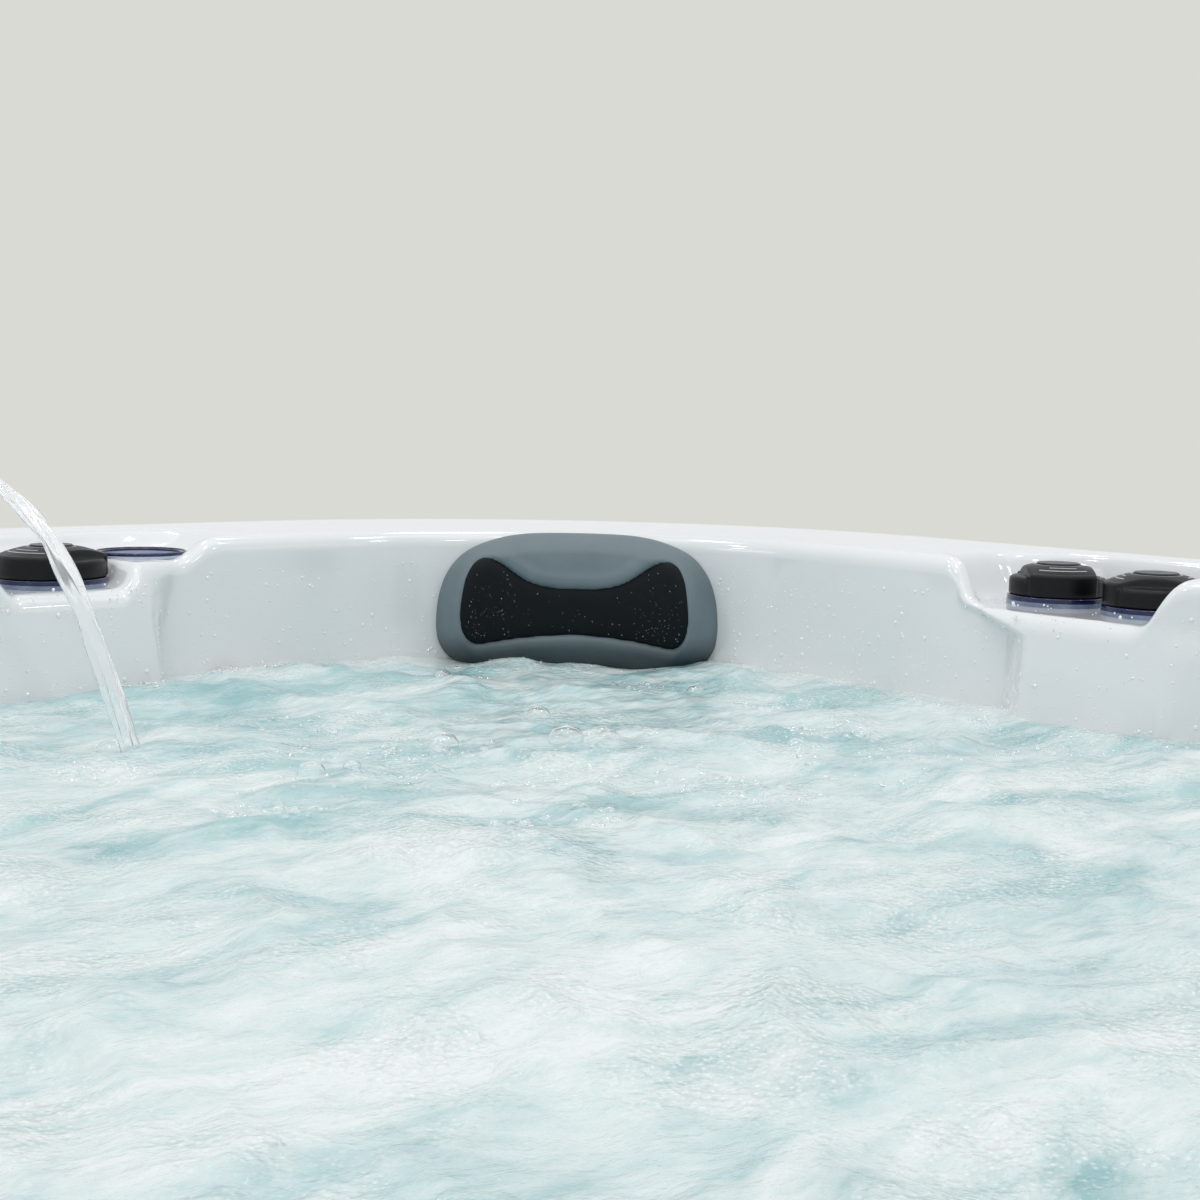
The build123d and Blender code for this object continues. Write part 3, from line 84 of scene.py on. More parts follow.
# ---------------------------------------------------------------- meshes
def mesh_object(name, points, faces, smooth_shading=True):
    mesh = bpy.data.meshes.new(name)
    mesh.from_pydata([tuple(p) for p in points], [], [tuple(f) for f in faces])
    mesh.update()
    if smooth_shading:
        mesh.polygons.foreach_set("use_smooth", [True] * len(mesh.polygons))
    piece = bpy.data.objects.new(name, mesh)
    scene.collection.objects.link(piece)
    return piece


def apply_modifiers(piece):
    deps = bpy.context.evaluated_depsgraph_get()
    made = bpy.data.meshes.new_from_object(piece.evaluated_get(deps))
    piece.modifiers.clear()
    piece.data = made
    return piece


def join(name, parts):
    """One object from several (points, faces) pairs."""
    points, faces, start = [], [], 0
    for some_points, some_faces in parts:
        points.extend(some_points)
        faces.extend([tuple(i + start for i in f) for f in some_faces])
        start += len(some_points)
    return mesh_object(name, points, faces)


# ---------------------------------------------------------------- materials
def new_material(name):
    made = bpy.data.materials.new(name)
    made.use_nodes = True
    tree = made.node_tree
    shader = tree.nodes["Principled BSDF"]
    return made, tree, shader


def add_node(tree, kind, **values):
    made = tree.nodes.new(kind)
    for key, value in values.items():
        if key.startswith("in_"):
            made.inputs[key[3:].replace("_", " ")].default_value = value
        else:
            setattr(made, key, value)
    return made


def ramp(tree, source, stops):
    made = tree.nodes.new("ShaderNodeValToRGB")
    bands = made.color_ramp
    while len(bands.elements) < len(stops):
        bands.elements.new(0.5)
    for element, (place, colour) in zip(bands.elements, stops):
        element.position = place
        element.color = (*colour, 1) if len(colour) == 3 else colour
    tree.links.new(source, made.inputs["Fac"])
    return made.outputs["Color"]


def rgb(r, g, b):
    """A colour written as it looks on screen, 0 to 255, turned to linear light."""
    return tuple((c / 255 / 12.92) if c <= 10 else (((c / 255 + 0.055) / 1.055) ** 2.4) for c in (r, g, b))


def object_place(tree, stretch=(1, 1, 1)):
    place = tree.nodes.new("ShaderNodeTexCoord")
    mapping = add_node(tree, "ShaderNodeMapping")
    mapping.inputs["Scale"].default_value = stretch
    tree.links.new(place.outputs["Object"], mapping.inputs["Vector"])
    return mapping.outputs["Vector"]


def noise_of(tree, place, scale, detail=4, rough=0.55):
    made = add_node(tree, "ShaderNodeTexNoise", in_Scale=scale, in_Detail=detail, in_Roughness=rough)
    tree.links.new(place, made.inputs["Vector"])
    return made.outputs["Fac"]


def bump(tree, shader, height, distance, strength=1.0):
    made = add_node(tree, "ShaderNodeBump", in_Strength=strength, in_Distance=distance)
    tree.links.new(height, made.inputs["Height"])
    tree.links.new(made.outputs["Normal"], shader.inputs["Normal"])
    return made


def moulded(name, dark, light, rough=(0.3, 0.45), scale=40, grain=900, grain_depth=0.00006, stretch=(1, 1, 1),
            metallic=0.0, **fixed):
    """A finish with a slow change of colour, a changing roughness and a fine surface grain."""
    made, tree, shader = new_material(name)
    place = object_place(tree, stretch)
    slow = noise_of(tree, place, scale)
    colour = ramp(tree, slow, [(0.3, dark), (0.7, light)])
    tree.links.new(colour, shader.inputs["Base Color"])
    spread = ramp(tree, slow, [(0.25, (rough[0],) * 3), (0.75, (rough[1],) * 3)])
    tree.links.new(spread, shader.inputs["Roughness"])
    fine = noise_of(tree, place, grain, 2)
    bump(tree, shader, fine, grain_depth)
    shader.inputs["Metallic"].default_value = metallic
    for key, value in fixed.items():
        shader.inputs[key.replace("_", " ")].default_value = value
    return made


def paint(piece, material):
    piece.data.materials.clear()
    piece.data.materials.append(material)
    return piece


def acrylic_material():
    made, tree, shader = new_material("acrylic")
    place = object_place(tree)
    slow = noise_of(tree, place, 2.2, 3)
    colour = ramp(tree, slow, [(0.3, rgb(232, 235, 237)), (0.7, rgb(239, 241, 243))])
    tree.links.new(colour, shader.inputs["Base Color"])
    spread = ramp(tree, noise_of(tree, place, 35, 3), [(0.3, (0.07,) * 3), (0.8, (0.13,) * 3)])
    tree.links.new(spread, shader.inputs["Roughness"])
    bump(tree, shader, noise_of(tree, place, 9, 2), 0.0006, 0.35)
    shader.inputs["IOR"].default_value = 1.49
    shader.inputs["Coat Weight"].default_value = 0.6
    shader.inputs["Coat Roughness"].default_value = 0.04
    return made


# ---------------------------------------------------------------- finishes
def water_material():
    """Turquoise water under patches of white foam, with a fine net of bubbles in the foam."""
    made, tree, shader = new_material("pool_water")
    place = tree.nodes.new("ShaderNodeTexCoord")
    turn = add_node(tree, "ShaderNodeMapping")
    turn.inputs["Rotation"].default_value = (0, 0, math.radians(41))
    turn.inputs["Scale"].default_value = (1.0, 2.1, 1.0)
    tree.links.new(place.outputs["Object"], turn.inputs["Vector"])
    drawn = turn.outputs["Vector"]
    broad = add_node(tree, "ShaderNodeTexNoise", in_Scale=4.6, in_Detail=9, in_Roughness=0.62, in_Distortion=1.1)
    tree.links.new(drawn, broad.inputs["Vector"])
    streaks = add_node(tree, "ShaderNodeTexNoise", in_Scale=17, in_Detail=5, in_Roughness=0.6, in_Distortion=1.4)
    tree.links.new(drawn, streaks.inputs["Vector"])
    together = add_node(tree, "ShaderNodeMath", operation="MULTIPLY_ADD")
    tree.links.new(streaks.outputs["Fac"], together.inputs[0])
    together.inputs[1].default_value = 0.34
    tree.links.new(broad.outputs["Fac"], together.inputs[2])
    parts = tree.nodes.new("ShaderNodeSeparateXYZ")
    tree.links.new(place.outputs["Object"], parts.inputs[0])
    nearer = add_node(tree, "ShaderNodeMath", operation="ADD")
    tree.links.new(parts.outputs["X"], nearer.inputs[0])
    tree.links.new(parts.outputs["Y"], nearer.inputs[1])
    thicker = add_node(tree, "ShaderNodeMath", operation="MULTIPLY_ADD")
    tree.links.new(nearer.outputs[0], thicker.inputs[0])
    thicker.inputs[1].default_value = -0.075
    tree.links.new(together.outputs[0], thicker.inputs[2])
    flat = add_node(tree, "ShaderNodeVectorMath", operation="MULTIPLY_ADD")
    folded = add_node(tree, "ShaderNodeVectorMath", operation="ABSOLUTE")
    tree.links.new(place.outputs["Object"], folded.inputs[0])
    tree.links.new(folded.outputs[0], flat.inputs[0])
    flat.inputs[1].default_value = (1, 1, 0)
    flat.inputs[2].default_value = (-STRAIGHT * MM, -STRAIGHT * MM, 0)
    outside = add_node(tree, "ShaderNodeVectorMath", operation="MAXIMUM")
    tree.links.new(flat.outputs[0], outside.inputs[0])
    outside.inputs[1].default_value = (0, 0, 0)
    from_middle = add_node(tree, "ShaderNodeVectorMath", operation="LENGTH")
    tree.links.new(outside.outputs[0], from_middle.inputs[0])
    wandering = add_node(tree, "ShaderNodeMath", operation="MULTIPLY_ADD")
    tree.links.new(noise_of(tree, place.outputs["Object"], 14, 4), wandering.inputs[0])
    wandering.inputs[1].default_value = 0.11
    tree.links.new(from_middle.outputs["Value"], wandering.inputs[2])
    rim_foam = ramp(tree, wandering.outputs[0], [(0.365, (0.0,) * 3), (0.405, (0.2,) * 3)])
    gathered = add_node(tree, "ShaderNodeMath", operation="ADD")
    tree.links.new(thicker.outputs[0], gathered.inputs[0])
    tree.links.new(rim_foam, gathered.inputs[1])
    foam = ramp(tree, gathered.outputs[0], [(0.49, (0.0,) * 3), (0.62, (0.55,) * 3), (0.8, (1.0,) * 3)])
    cells = add_node(tree, "ShaderNodeTexVoronoi", in_Scale=210.0)
    tree.links.new(place.outputs["Object"], cells.inputs["Vector"])
    small = add_node(tree, "ShaderNodeTexVoronoi", in_Scale=300.0)
    tree.links.new(place.outputs["Object"], small.inputs["Vector"])
    speck = ramp(tree, small.outputs["Distance"], [(0.1, (1.0,) * 3), (0.42, (0.0,) * 3)])
    patches = ramp(tree, noise_of(tree, place.outputs["Object"], 9, 5, 0.6), [(0.47, (0.0,) * 3), (0.6, (1.0,) * 3)])
    deep = ramp(tree, noise_of(tree, drawn, 9, 6, 0.6),
                [(0.3, rgb(*WATER_DEEP)), (0.5, rgb(*WATER_MIDDLE)), (0.72, rgb(*WATER_PALE))])
    mixed = add_node(tree, "ShaderNodeMix", data_type="RGBA")
    tree.links.new(foam, mixed.inputs["Factor"])
    tree.links.new(deep, mixed.inputs[6])
    mixed.inputs[7].default_value = (*rgb(*FOAM), 1)
    bright = add_node(tree, "ShaderNodeMix", data_type="RGBA")
    lit = add_node(tree, "ShaderNodeMath", operation="MULTIPLY")
    tree.links.new(speck, lit.inputs[0])
    tree.links.new(patches, lit.inputs[1])
    halved = add_node(tree, "ShaderNodeMath", operation="MULTIPLY")
    tree.links.new(lit.outputs[0], halved.inputs[0])
    halved.inputs[1].default_value = 0.75
    tree.links.new(halved.outputs[0], bright.inputs["Factor"])
    tree.links.new(mixed.outputs[2], bright.inputs[6])
    bright.inputs[7].default_value = (*rgb(252, 254, 254), 1)
    tree.links.new(bright.outputs[2], shader.inputs["Base Color"])
    rough = ramp(tree, foam, [(0.0, (0.07,) * 3), (1.0, (0.3,) * 3)])
    tree.links.new(rough, shader.inputs["Roughness"])
    shader.inputs["IOR"].default_value = 1.33
    shader.inputs["Subsurface Weight"].default_value = 0.25
    shader.inputs["Subsurface Radius"].default_value = (0.02, 0.03, 0.03)
    ripple = noise_of(tree, drawn, 50, 4, 0.6)
    ripples = bump(tree, shader, ripple, 0.006, 0.42)
    froth = add_node(tree, "ShaderNodeBump", in_Strength=0.8, in_Distance=0.0022)
    bubbled = add_node(tree, "ShaderNodeMath", operation="MULTIPLY")
    tree.links.new(cells.outputs["Distance"], bubbled.inputs[0])
    tree.links.new(patches, bubbled.inputs[1])
    tree.links.new(bubbled.outputs[0], froth.inputs["Height"])
    tree.links.new(ripples.outputs["Normal"], froth.inputs["Normal"])
    tree.links.new(froth.outputs["Normal"], shader.inputs["Normal"])
    return made


def clear_material(name, tint, ior, rough, amount, coat=0.0):
    """Water or thin film, slightly uneven, as clear as its amount of transmission."""
    made, tree, shader = new_material(name)
    place = object_place(tree)
    slow = noise_of(tree, place, 60, 3)
    tree.links.new(ramp(tree, slow, [(0.3, tint), (0.7, tuple(min(1, c * 1.06) for c in tint))]),
                   shader.inputs["Base Color"])
    spread = ramp(tree, slow, [(0.2, (rough[0],) * 3), (0.8, (rough[1],) * 3)])
    tree.links.new(spread, shader.inputs["Roughness"])
    shader.inputs["Transmission Weight"].default_value = amount
    shader.inputs["IOR"].default_value = ior
    shader.inputs["Coat Weight"].default_value = coat
    shader.inputs["Coat IOR"].default_value = 1.6
    return made


def grained(name, dark, light, stretch, scale, depth, rough=(0.5, 0.7)):
    """Wood, or board pressed with a wood grain, drawn out along its length."""
    made, tree, shader = new_material(name)
    place = object_place(tree, stretch)
    lines = add_node(tree, "ShaderNodeTexNoise", in_Scale=scale, in_Detail=8, in_Roughness=0.7, in_Distortion=0.6)
    tree.links.new(place, lines.inputs["Vector"])
    colour = ramp(tree, lines.outputs["Fac"], [(0.32, dark), (0.5, tuple((a + b) / 2 for a, b in zip(dark, light))),
                                               (0.68, light)])
    tree.links.new(colour, shader.inputs["Base Color"])
    spread = ramp(tree, lines.outputs["Fac"], [(0.3, (rough[1],) * 3), (0.7, (rough[0],) * 3)])
    tree.links.new(spread, shader.inputs["Roughness"])
    bump(tree, shader, lines.outputs["Fac"], depth, 0.8)
    return made


finishes = {
    "acrylic": acrylic_material(),
    "cap_black": moulded("cap_black", rgb(6, 7, 9), rgb(11, 12, 14), (0.34, 0.48), 60, 2600, 0.00006,
                          Specular_IOR_Level=0.25),
    "cap_disc": moulded("cap_disc", rgb(30, 31, 34), rgb(50, 51, 54), (0.3, 0.5), 150, 1500, 0.0001),
    "cap_mark": moulded("cap_mark", rgb(158, 162, 167), rgb(184, 187, 191), (0.4, 0.6), 200, 2400, 0.00003),
    "stem_plastic": moulded("stem_plastic", rgb(48, 49, 52), rgb(62, 63, 66)),
    "blue_ring": moulded("blue_ring", rgb(6, 14, 58), rgb(12, 26, 82), (0.1, 0.2), 90, 1200, 0.00002,
                         Coat_Weight=0.2),
    "flange_plastic": moulded("flange_plastic", rgb(98, 112, 140), rgb(126, 139, 164), (0.15, 0.3), 80, 1500,
                              0.00003, Coat_Weight=0.4),
    "cup_plastic": moulded("cup_plastic", rgb(176, 188, 212), rgb(202, 211, 228), (0.2, 0.34), 30, 1500, 0.00003,
                           Coat_Weight=0.4),
    "pillow_foam": moulded("pillow_foam", rgb(98, 114, 121), rgb(109, 125, 132), (0.4, 0.56), 26, 2600, 0.00007),
    "pillow_dark": moulded("pillow_dark", rgb(6, 12, 17), rgb(12, 19, 25), (0.5, 0.66), 24, 2200, 0.00009,
                           Specular_IOR_Level=0.15),
    "jet_plastic": moulded("jet_plastic", rgb(110, 117, 123), rgb(126, 132, 138), (0.12, 0.26), 60, 1600, 0.00003,
                           Coat_Weight=0.5),
    "white_plastic": moulded("white_plastic", rgb(222, 224, 224), rgb(233, 234, 234), (0.3, 0.45)),
    "light_lens": moulded("light_lens", rgb(216, 230, 240), rgb(232, 240, 246), (0.12, 0.3), 120, 700, 0.0003,
                          Transmission_Weight=0.5),
    "filter_cloth": moulded("filter_cloth", rgb(226, 232, 238), rgb(238, 241, 244), (0.75, 0.9), 60, 1800, 0.0003),
    "panel_plastic": moulded("panel_plastic", rgb(40, 41, 44), rgb(50, 51, 54), (0.35, 0.5)),
    "display_glass": moulded("display_glass", rgb(14, 22, 28), rgb(20, 32, 40), (0.03, 0.08), 25, 300, 0.00001,
                             Coat_Weight=1.0),
    "button_plastic": moulded("button_plastic", rgb(140, 143, 146), rgb(156, 158, 161), (0.4, 0.55)),
    "cabinet_board": grained("cabinet_board", rgb(66, 67, 71), rgb(98, 100, 104), (2.2, 2.2, 26), 9, 0.0009),
    "screw_steel": moulded("screw_steel", (0.52, 0.52, 0.52), (0.66, 0.66, 0.66), (0.22, 0.4), 300, 3000, 0.00003,
                           metallic=1.0),
    "base_plastic": moulded("base_plastic", rgb(34, 34, 36), rgb(44, 44, 46), (0.55, 0.75), 25, 420, 0.0006),
    "frame_wood": grained("frame_wood", rgb(168, 128, 82), rgb(208, 172, 122), (3, 3, 14), 7, 0.0005, (0.6, 0.8)),
    "pump_housing": moulded("pump_housing", rgb(36, 36, 38), rgb(46, 46, 48), (0.45, 0.6), 30, 700, 0.0003),
    "motor_paint": moulded("motor_paint", rgb(86, 90, 96), rgb(100, 104, 109), (0.3, 0.45), 40, 900, 0.0002,
                           Coat_Weight=0.3),
    "heater_steel": moulded("heater_steel", (0.6, 0.6, 0.6), (0.72, 0.72, 0.71), (0.16, 0.34), 40, 900, 0.00005,
                            (1, 1, 14), metallic=1.0),
    "box_paint": moulded("box_paint", rgb(170, 172, 174), rgb(182, 184, 186), (0.35, 0.5), 30, 1100, 0.0001),
    "pipe_plastic": moulded("pipe_plastic", rgb(222, 221, 216), rgb(234, 233, 229), (0.25, 0.4), 20, 900, 0.00005),
    "brass": moulded("brass", (0.58, 0.42, 0.17), (0.72, 0.54, 0.25), (0.2, 0.38), 160, 2000, 0.00005,
                     metallic=1.0),
    # painted highlight: the wall drops are nearly opaque and white, standing in for the glints on clear water
    "water_drops": clear_material("water_drops", (0.95, 0.97, 0.97), 1.3, (0.02, 0.06), 0.05, 1.0),
    "pillow_drops": clear_material("pillow_drops", (0.9, 0.94, 0.95), 1.2, (0.03, 0.08), 0.93, 0.8),
    "water_bubbles": clear_material("water_bubbles", (0.96, 1.0, 1.0), 1.06, (0.02, 0.05), 0.85, 1.0),
    "pool_water": water_material(),
}


def paint_shade_below(material, low, high, shade_colour):
    """Paints shade into a finish, darker from one height down to a lower one."""
    tree = material.node_tree
    shader = tree.nodes["Principled BSDF"]
    unshaded_colour = shader.inputs["Base Color"].links[0].from_socket
    place = tree.nodes.new("ShaderNodeTexCoord")
    parts = tree.nodes.new("ShaderNodeSeparateXYZ")
    tree.links.new(place.outputs["Object"], parts.inputs[0])
    height = add_node(tree, "ShaderNodeMapRange", interpolation_type="SMOOTHSTEP", in_From_Min=high * MM,
                      in_From_Max=low * MM, in_To_Max=0.9)
    tree.links.new(parts.outputs["Z"], height.inputs["Value"])
    mixed = add_node(tree, "ShaderNodeMix", data_type="RGBA")
    tree.links.new(height.outputs[0], mixed.inputs["Factor"])
    tree.links.new(unshaded_colour, mixed.inputs[6])
    mixed.inputs[7].default_value = (*shade_colour, 1)
    tree.links.new(mixed.outputs[2], shader.inputs["Base Color"])


# painted shade: the pillow's foam turns darker towards its bottom, just above the water
paint_shade_below(finishes["pillow_foam"], WATER + 2, WATER + 36, rgb(34, 46, 51))
slot_of = {entry["node"]: entry["material_slot"] for entry in frame["record"]["subparts"]}
for name, node in nodes.items():
    finish = finishes[slot_of[name]]
    if not node.material_slots:
        node.data.materials.append(finish)
    for place in node.material_slots:
        place.material = finish

# ---------------------------------------------------------------- the acrylic shell
# Each deck is cut in the rim on one side. "out" runs from the tub's middle to that side, "along" lies level
# on it, a quarter turn further on.
def deck_heights(side, out, along):
    """The height of the rim's top at places on one side."""
    height = np.full(np.broadcast(out, along).shape, TUB_TOP)
    if side % 2 == 0:                                                # the valve deck
        far = 329 + 40 * smooth((out - 846) / 66)
        near = 127 - 14 * smooth((out - 862) / 30)
        reach, depth, corner = 994, 42.0, 46
        near_width = 56 - 28 * smooth((out - 862) / 30)
        inside_far = (far - along) * 26 / 56
        inside_near = (along - near) * 26 / near_width
    else:                                                            # the cup holder's deck
        along = -along
        far = 362 + 46 * smooth((out - 852) / 50)
        near = 120
        reach, depth, corner = 995, 20.0, 50
        inside_far = (far - along) * 26 / 62
        inside_near = along - near
    inside_out = reach - out
    inside_along = np.minimum(inside_far, inside_near)
    a, b = corner - inside_along, corner - inside_out
    rounded = corner - np.hypot(np.maximum(a, 0), np.maximum(b, 0))
    inside = np.where((a > 0) & (b > 0), rounded, np.minimum(inside_along, inside_out))
    height = height - depth * steep((inside + 14) / 26, 2.2)
    if side % 2 == 1:                                                # the deeper place round the diverter
        aside = np.maximum(along - 234, 210 - along)
        aside = np.maximum(aside, 0)
        from_middle = np.where(out > 886, np.hypot(out - 886, aside), aside)
        width = 9 + 20 * smooth((884 - out) / 30)
        height = height - 22.0 * steep((DIVERTER_RECESS + 0.3 * width - from_middle) / width, 1.6)
    return height


def bulge(side, along, z):
    """How far the wall below a deck stands into the bowl."""
    down = np.clip(TUB_TOP - 42 - z, 0, 400)
    if side % 2 == 0:
        fall = smooth((862 - z) / 26)
        far, near = 323 - 58 * fall, 96 - 10 * fall
        far_width, near_width, depth = 42.0, 60.0, 22.0
    else:
        along = -along
        fall = smooth((884 - z) / 84)
        near = 114 - 6 * fall
        near_width, depth = 40.0, 38.0
        ridge = np.interp(z, (762, 800, 840, 856, 868, 884), (303, 303, 295, 287, 274, 262))
        end = np.interp(z, (771, 808, 845, 870, 886), (316, 323, 334, 347, 356))
        far, far_width = (ridge + end) / 2, end - ridge + 8
    depth = depth + down * math.tan(math.radians(4))
    rise = smooth((along - near + near_width / 2) / near_width)
    drop = smooth((far + far_width / 2 - along) / far_width)
    return depth * rise * drop


def spaced(start, stop, step_at):
    """Places from start to stop, each a step on from the last, where the step depends on the place."""
    places = [start]
    while places[-1] < stop:
        places.append(places[-1] + step_at(places[-1]))
    scale = (stop - start) / (places[-1] - start)
    return [start + (p - start) * scale for p in places]


def columns_of(side):
    """Places along one straight side, close together where a deck ends."""
    ends = ((96, 150), (255, 405)) if side % 2 == 0 else ((-450, -268), (-200, -95))

    def step(at):
        gap = min(max(low - at, at - high, 0) for low, high in ends)
        return min(2.2 + gap * 0.13, 26)

    return spaced(-STRAIGHT, STRAIGHT, step)


CORNER_STEPS = 30
columns = []                                                         # side, along or None, corner angle
for side in range(4):
    columns += [(side, along, 0.0) for along in columns_of(side)]
    columns += [(side, None, math.pi / 2 * i / CORNER_STEPS) for i in range(1, CORNER_STEPS)]
sides = np.array([c[0] for c in columns])
straight = np.array([c[1] is not None for c in columns])
shares = np.array([0.0 if c[1] is None else c[1] / STRAIGHT for c in columns])
angles = np.array([c[2] for c in columns])


def contour(half, half_straight, push):
    """One ring of the loft: half its width, half its straight run, and how far each column stands inwards."""
    radius = half - half_straight
    out = np.where(straight, half - push, half_straight + (radius - push) * np.cos(angles))
    along = np.where(straight, shares * half_straight, half_straight + (radius - push) * np.sin(angles))
    turn = sides * math.pi / 2
    return np.stack([out * np.cos(turn) - along * np.sin(turn), out * np.sin(turn) + along * np.cos(turn)], 1)


def side_heights(out, half_straight):
    """The rim's height at each column of a ring that stands this far out."""
    height = np.full(len(columns), TUB_TOP)
    for side in range(4):
        chosen = straight & (sides == side)
        height[chosen] = deck_heights(side, out[chosen], (shares * half_straight)[chosen])
    return height


def side_bulge(z):
    made = np.zeros(len(columns))
    for side in range(4):
        chosen = straight & (sides == side)
        made[chosen] = bulge(side, (shares * STRAIGHT)[chosen], z[chosen] if np.ndim(z) else z)
    return made


def rim_straight(out):
    return STRAIGHT + (LIP_STRAIGHT - STRAIGHT) * np.clip((out - 872) / 175, 0, 1)


def shell_rings(shift, top_places, wall_shares, fine):
    """The rings from the lip over the rim, down the wall, across the seats and down the footwell. A shift above 0
    gives the underside, that far out of the solid's face."""
    rings = []

    def ring(half, run, push, z):
        flat = contour(half, run, push)
        z = np.broadcast_to(z, (len(columns),))
        rings.append(np.column_stack([flat, z]))

    lip = 28.0
    lip_half = TUB_HALF - shift
    rings_up = 4 if fine else 2
    for i in range(rings_up + 1):
        ring(lip_half, LIP_STRAIGHT, 0, 845 + (872 - 845) * i / rings_up)
    arc = 9 if fine else 4
    for i in range(1, arc + 1):
        turn = math.pi / 2 * i / arc
        ring(lip_half - (lip - shift) * (1 - math.cos(turn)), LIP_STRAIGHT, 0,
             872 + (lip - shift) * math.sin(turn))
    edge = 16.0
    top_z = side_heights(np.full(len(columns), 858.0), STRAIGHT)
    edge_out = BOWL_HALF + edge - side_bulge(top_z) - (TUB_TOP - top_z) * SLOPE
    for place in top_places:
        out = edge_out + (1047.0 - edge_out) * place
        half = np.where(straight, out, 872 + 175 * place)
        run = rim_straight(872 + 175 * place)
        flat = contour(half, run, 0)
        height = side_heights(half, run)
        rings.append(np.column_stack([flat, height - shift]))
    arc = 9 if fine else 4
    for i in range(1, arc + 1):
        turn = math.pi / 2 * i / arc
        z = top_z - edge * (1 - math.cos(turn)) - shift * math.cos(turn)
        push = side_bulge(z) - edge * (1 - math.sin(turn)) - shift * math.sin(turn)
        if i == arc:
            z = top_z - edge
            push = side_bulge(z) - shift
        flat = contour(BOWL_HALF, STRAIGHT, push + (TUB_TOP - z) * SLOPE)
        rings.append(np.column_stack([flat, z]))
    cove = 60.0
    cove_top = SEAT + cove
    for share in wall_shares:
        z = (top_z - edge) * (1 - share) + cove_top * share
        flat = contour(BOWL_HALF, STRAIGHT, side_bulge(z) - shift + (TUB_TOP - z) * SLOPE)
        rings.append(np.column_stack([flat, z]))
    foot_half, foot_run = 440.0, 270.0
    base_bulge = side_bulge(np.full(len(columns), cove_top))
    arc = 8 if fine else 4
    for i in range(1, arc + 1):
        turn = math.pi / 2 * i / arc
        z = cove_top - (cove + shift) * math.sin(turn)
        push = base_bulge + (cove + shift) * (1 - math.cos(turn)) - shift + (TUB_TOP - cove_top) * SLOPE
        flat = contour(BOWL_HALF, STRAIGHT, push)
        rings.append(np.column_stack([flat, np.full(len(columns), z)]))
    seat_start = rings[-1][:, :2]
    edge = 28.0 - shift
    seat_end = contour(foot_half + shift + edge, foot_run, 0)
    steps = 14 if fine else 5
    for i in range(1, steps + 1):
        share = i / steps
        flat = seat_start * (1 - share) + seat_end * share
        sag = -16.0 * math.sin(math.pi * share) ** 1.5
        scoop = np.where(straight, 0.35 + 0.65 * smooth((np.abs(shares) - 0.45) / 0.35), 1.0)
        rings.append(np.column_stack([flat, SEAT - shift + sag * scoop]))
    arc = 6 if fine else 3
    for i in range(1, arc + 1):
        turn = math.pi / 2 * i / arc
        ring(foot_half + shift + edge * (1 - math.sin(turn)), foot_run, 0, SEAT - shift - edge * (1 - math.cos(turn)))
    steps = 10 if fine else 3
    slope = math.tan(math.radians(6))
    low = FLOOR + 45.0
    start_z = SEAT - shift - edge
    for i in range(1, steps + 1):
        z = start_z + (low - start_z) * i / steps
        ring(foot_half + shift, foot_run, (SEAT - z) * slope, z)
    push = (SEAT - low) * slope
    arc = 6 if fine else 3
    for i in range(1, arc + 1):
        turn = math.pi / 2 * i / arc
        ring(foot_half + shift, foot_run, push + (45 + shift) * (1 - math.cos(turn)),
             low - (45 + shift) * math.sin(turn))
    last = foot_half + shift - push - 45 - shift
    for share in (0.75, 0.5, 0.25, 0.08):
        ring(last * share, (last - (foot_half - foot_run - push - 45)) * share, 0, FLOOR - shift)
    return rings


def build_shell():
    top_places = [1 - (p - 872) / 175 for p in
                  spaced(872, 1047, lambda at: 2.4 if 965 < at < 1012 or at < 880 else 4.2 if at < 1012 else 9)[1:-1]]
    top_places = sorted(set(round(p, 6) for p in [1 - q for q in top_places]), reverse=True)
    wall_shares = [i / 46 for i in range(1, 47)]
    wall_shares = [s ** 1.5 for s in wall_shares]
    upper = shell_rings(0.0, top_places + [0.0], wall_shares, True)
    coarse = [p for i, p in enumerate(top_places) if i % 3 == 0]
    under = shell_rings(WALL, coarse + [0.0], [i / 10 for i in range(1, 11)], False)
    count = len(columns)
    points = [np.vstack(upper)]
    faces = []

    def skin(first, rings_count, flip):
        for k in range(rings_count - 1):
            base, after = first + k * count, first + (k + 1) * count
            for i in range(count):
                j = (i + 1) % count
                quad = (base + i, base + j, after + j, after + i)
                faces.append(quad[::-1] if flip else quad)

    skin(0, len(upper), False)
    points.append(np.array([[0, 0, FLOOR]]))
    pole = len(upper) * count
    last = (len(upper) - 1) * count
    faces += [(last + i, last + (i + 1) % count, pole) for i in range(count)]
    first = pole + 1
    points.append(np.vstack(under))
    skin(first, len(under), True)
    points.append(np.array([[0, 0, FLOOR - WALL]]))
    pole_under = first + len(under) * count
    last = first + (len(under) - 1) * count
    faces += [(last + (i + 1) % count, last + i, pole_under) for i in range(count)]
    faces += [(i, first + i, first + (i + 1) % count, (i + 1) % count) for i in range(count)]
    return mesh_object("shell_acrylic", np.vstack(points) * MM, faces)


# ---------------------------------------------------------------- frames on the walls, in millimetres
def inward(origin, bearing, draft):
    """A place on a drafted wall whose Z points into the bowl and whose X lies level along the wall."""
    b, d = math.radians(bearing), math.radians(draft)
    z = Vector((-math.cos(b) * math.cos(d), -math.sin(b) * math.cos(d), math.sin(d)))
    x = Vector((-math.sin(b), math.cos(b), 0))
    y = z.cross(x)
    return Matrix(((x.x, y.x, z.x, origin[0]), (x.y, y.y, z.y, origin[1]), (x.z, y.z, z.z, origin[2]), (0, 0, 0, 1)))


def on_side(bearing, along, level, half=BOWL_HALF, top=TUB_TOP, draft=3):
    out = half - (top - level) * math.tan(math.radians(draft))
    b = math.radians(bearing)
    return inward((out * math.cos(b) - along * math.sin(b), out * math.sin(b) + along * math.cos(b), level),
                  bearing, draft)


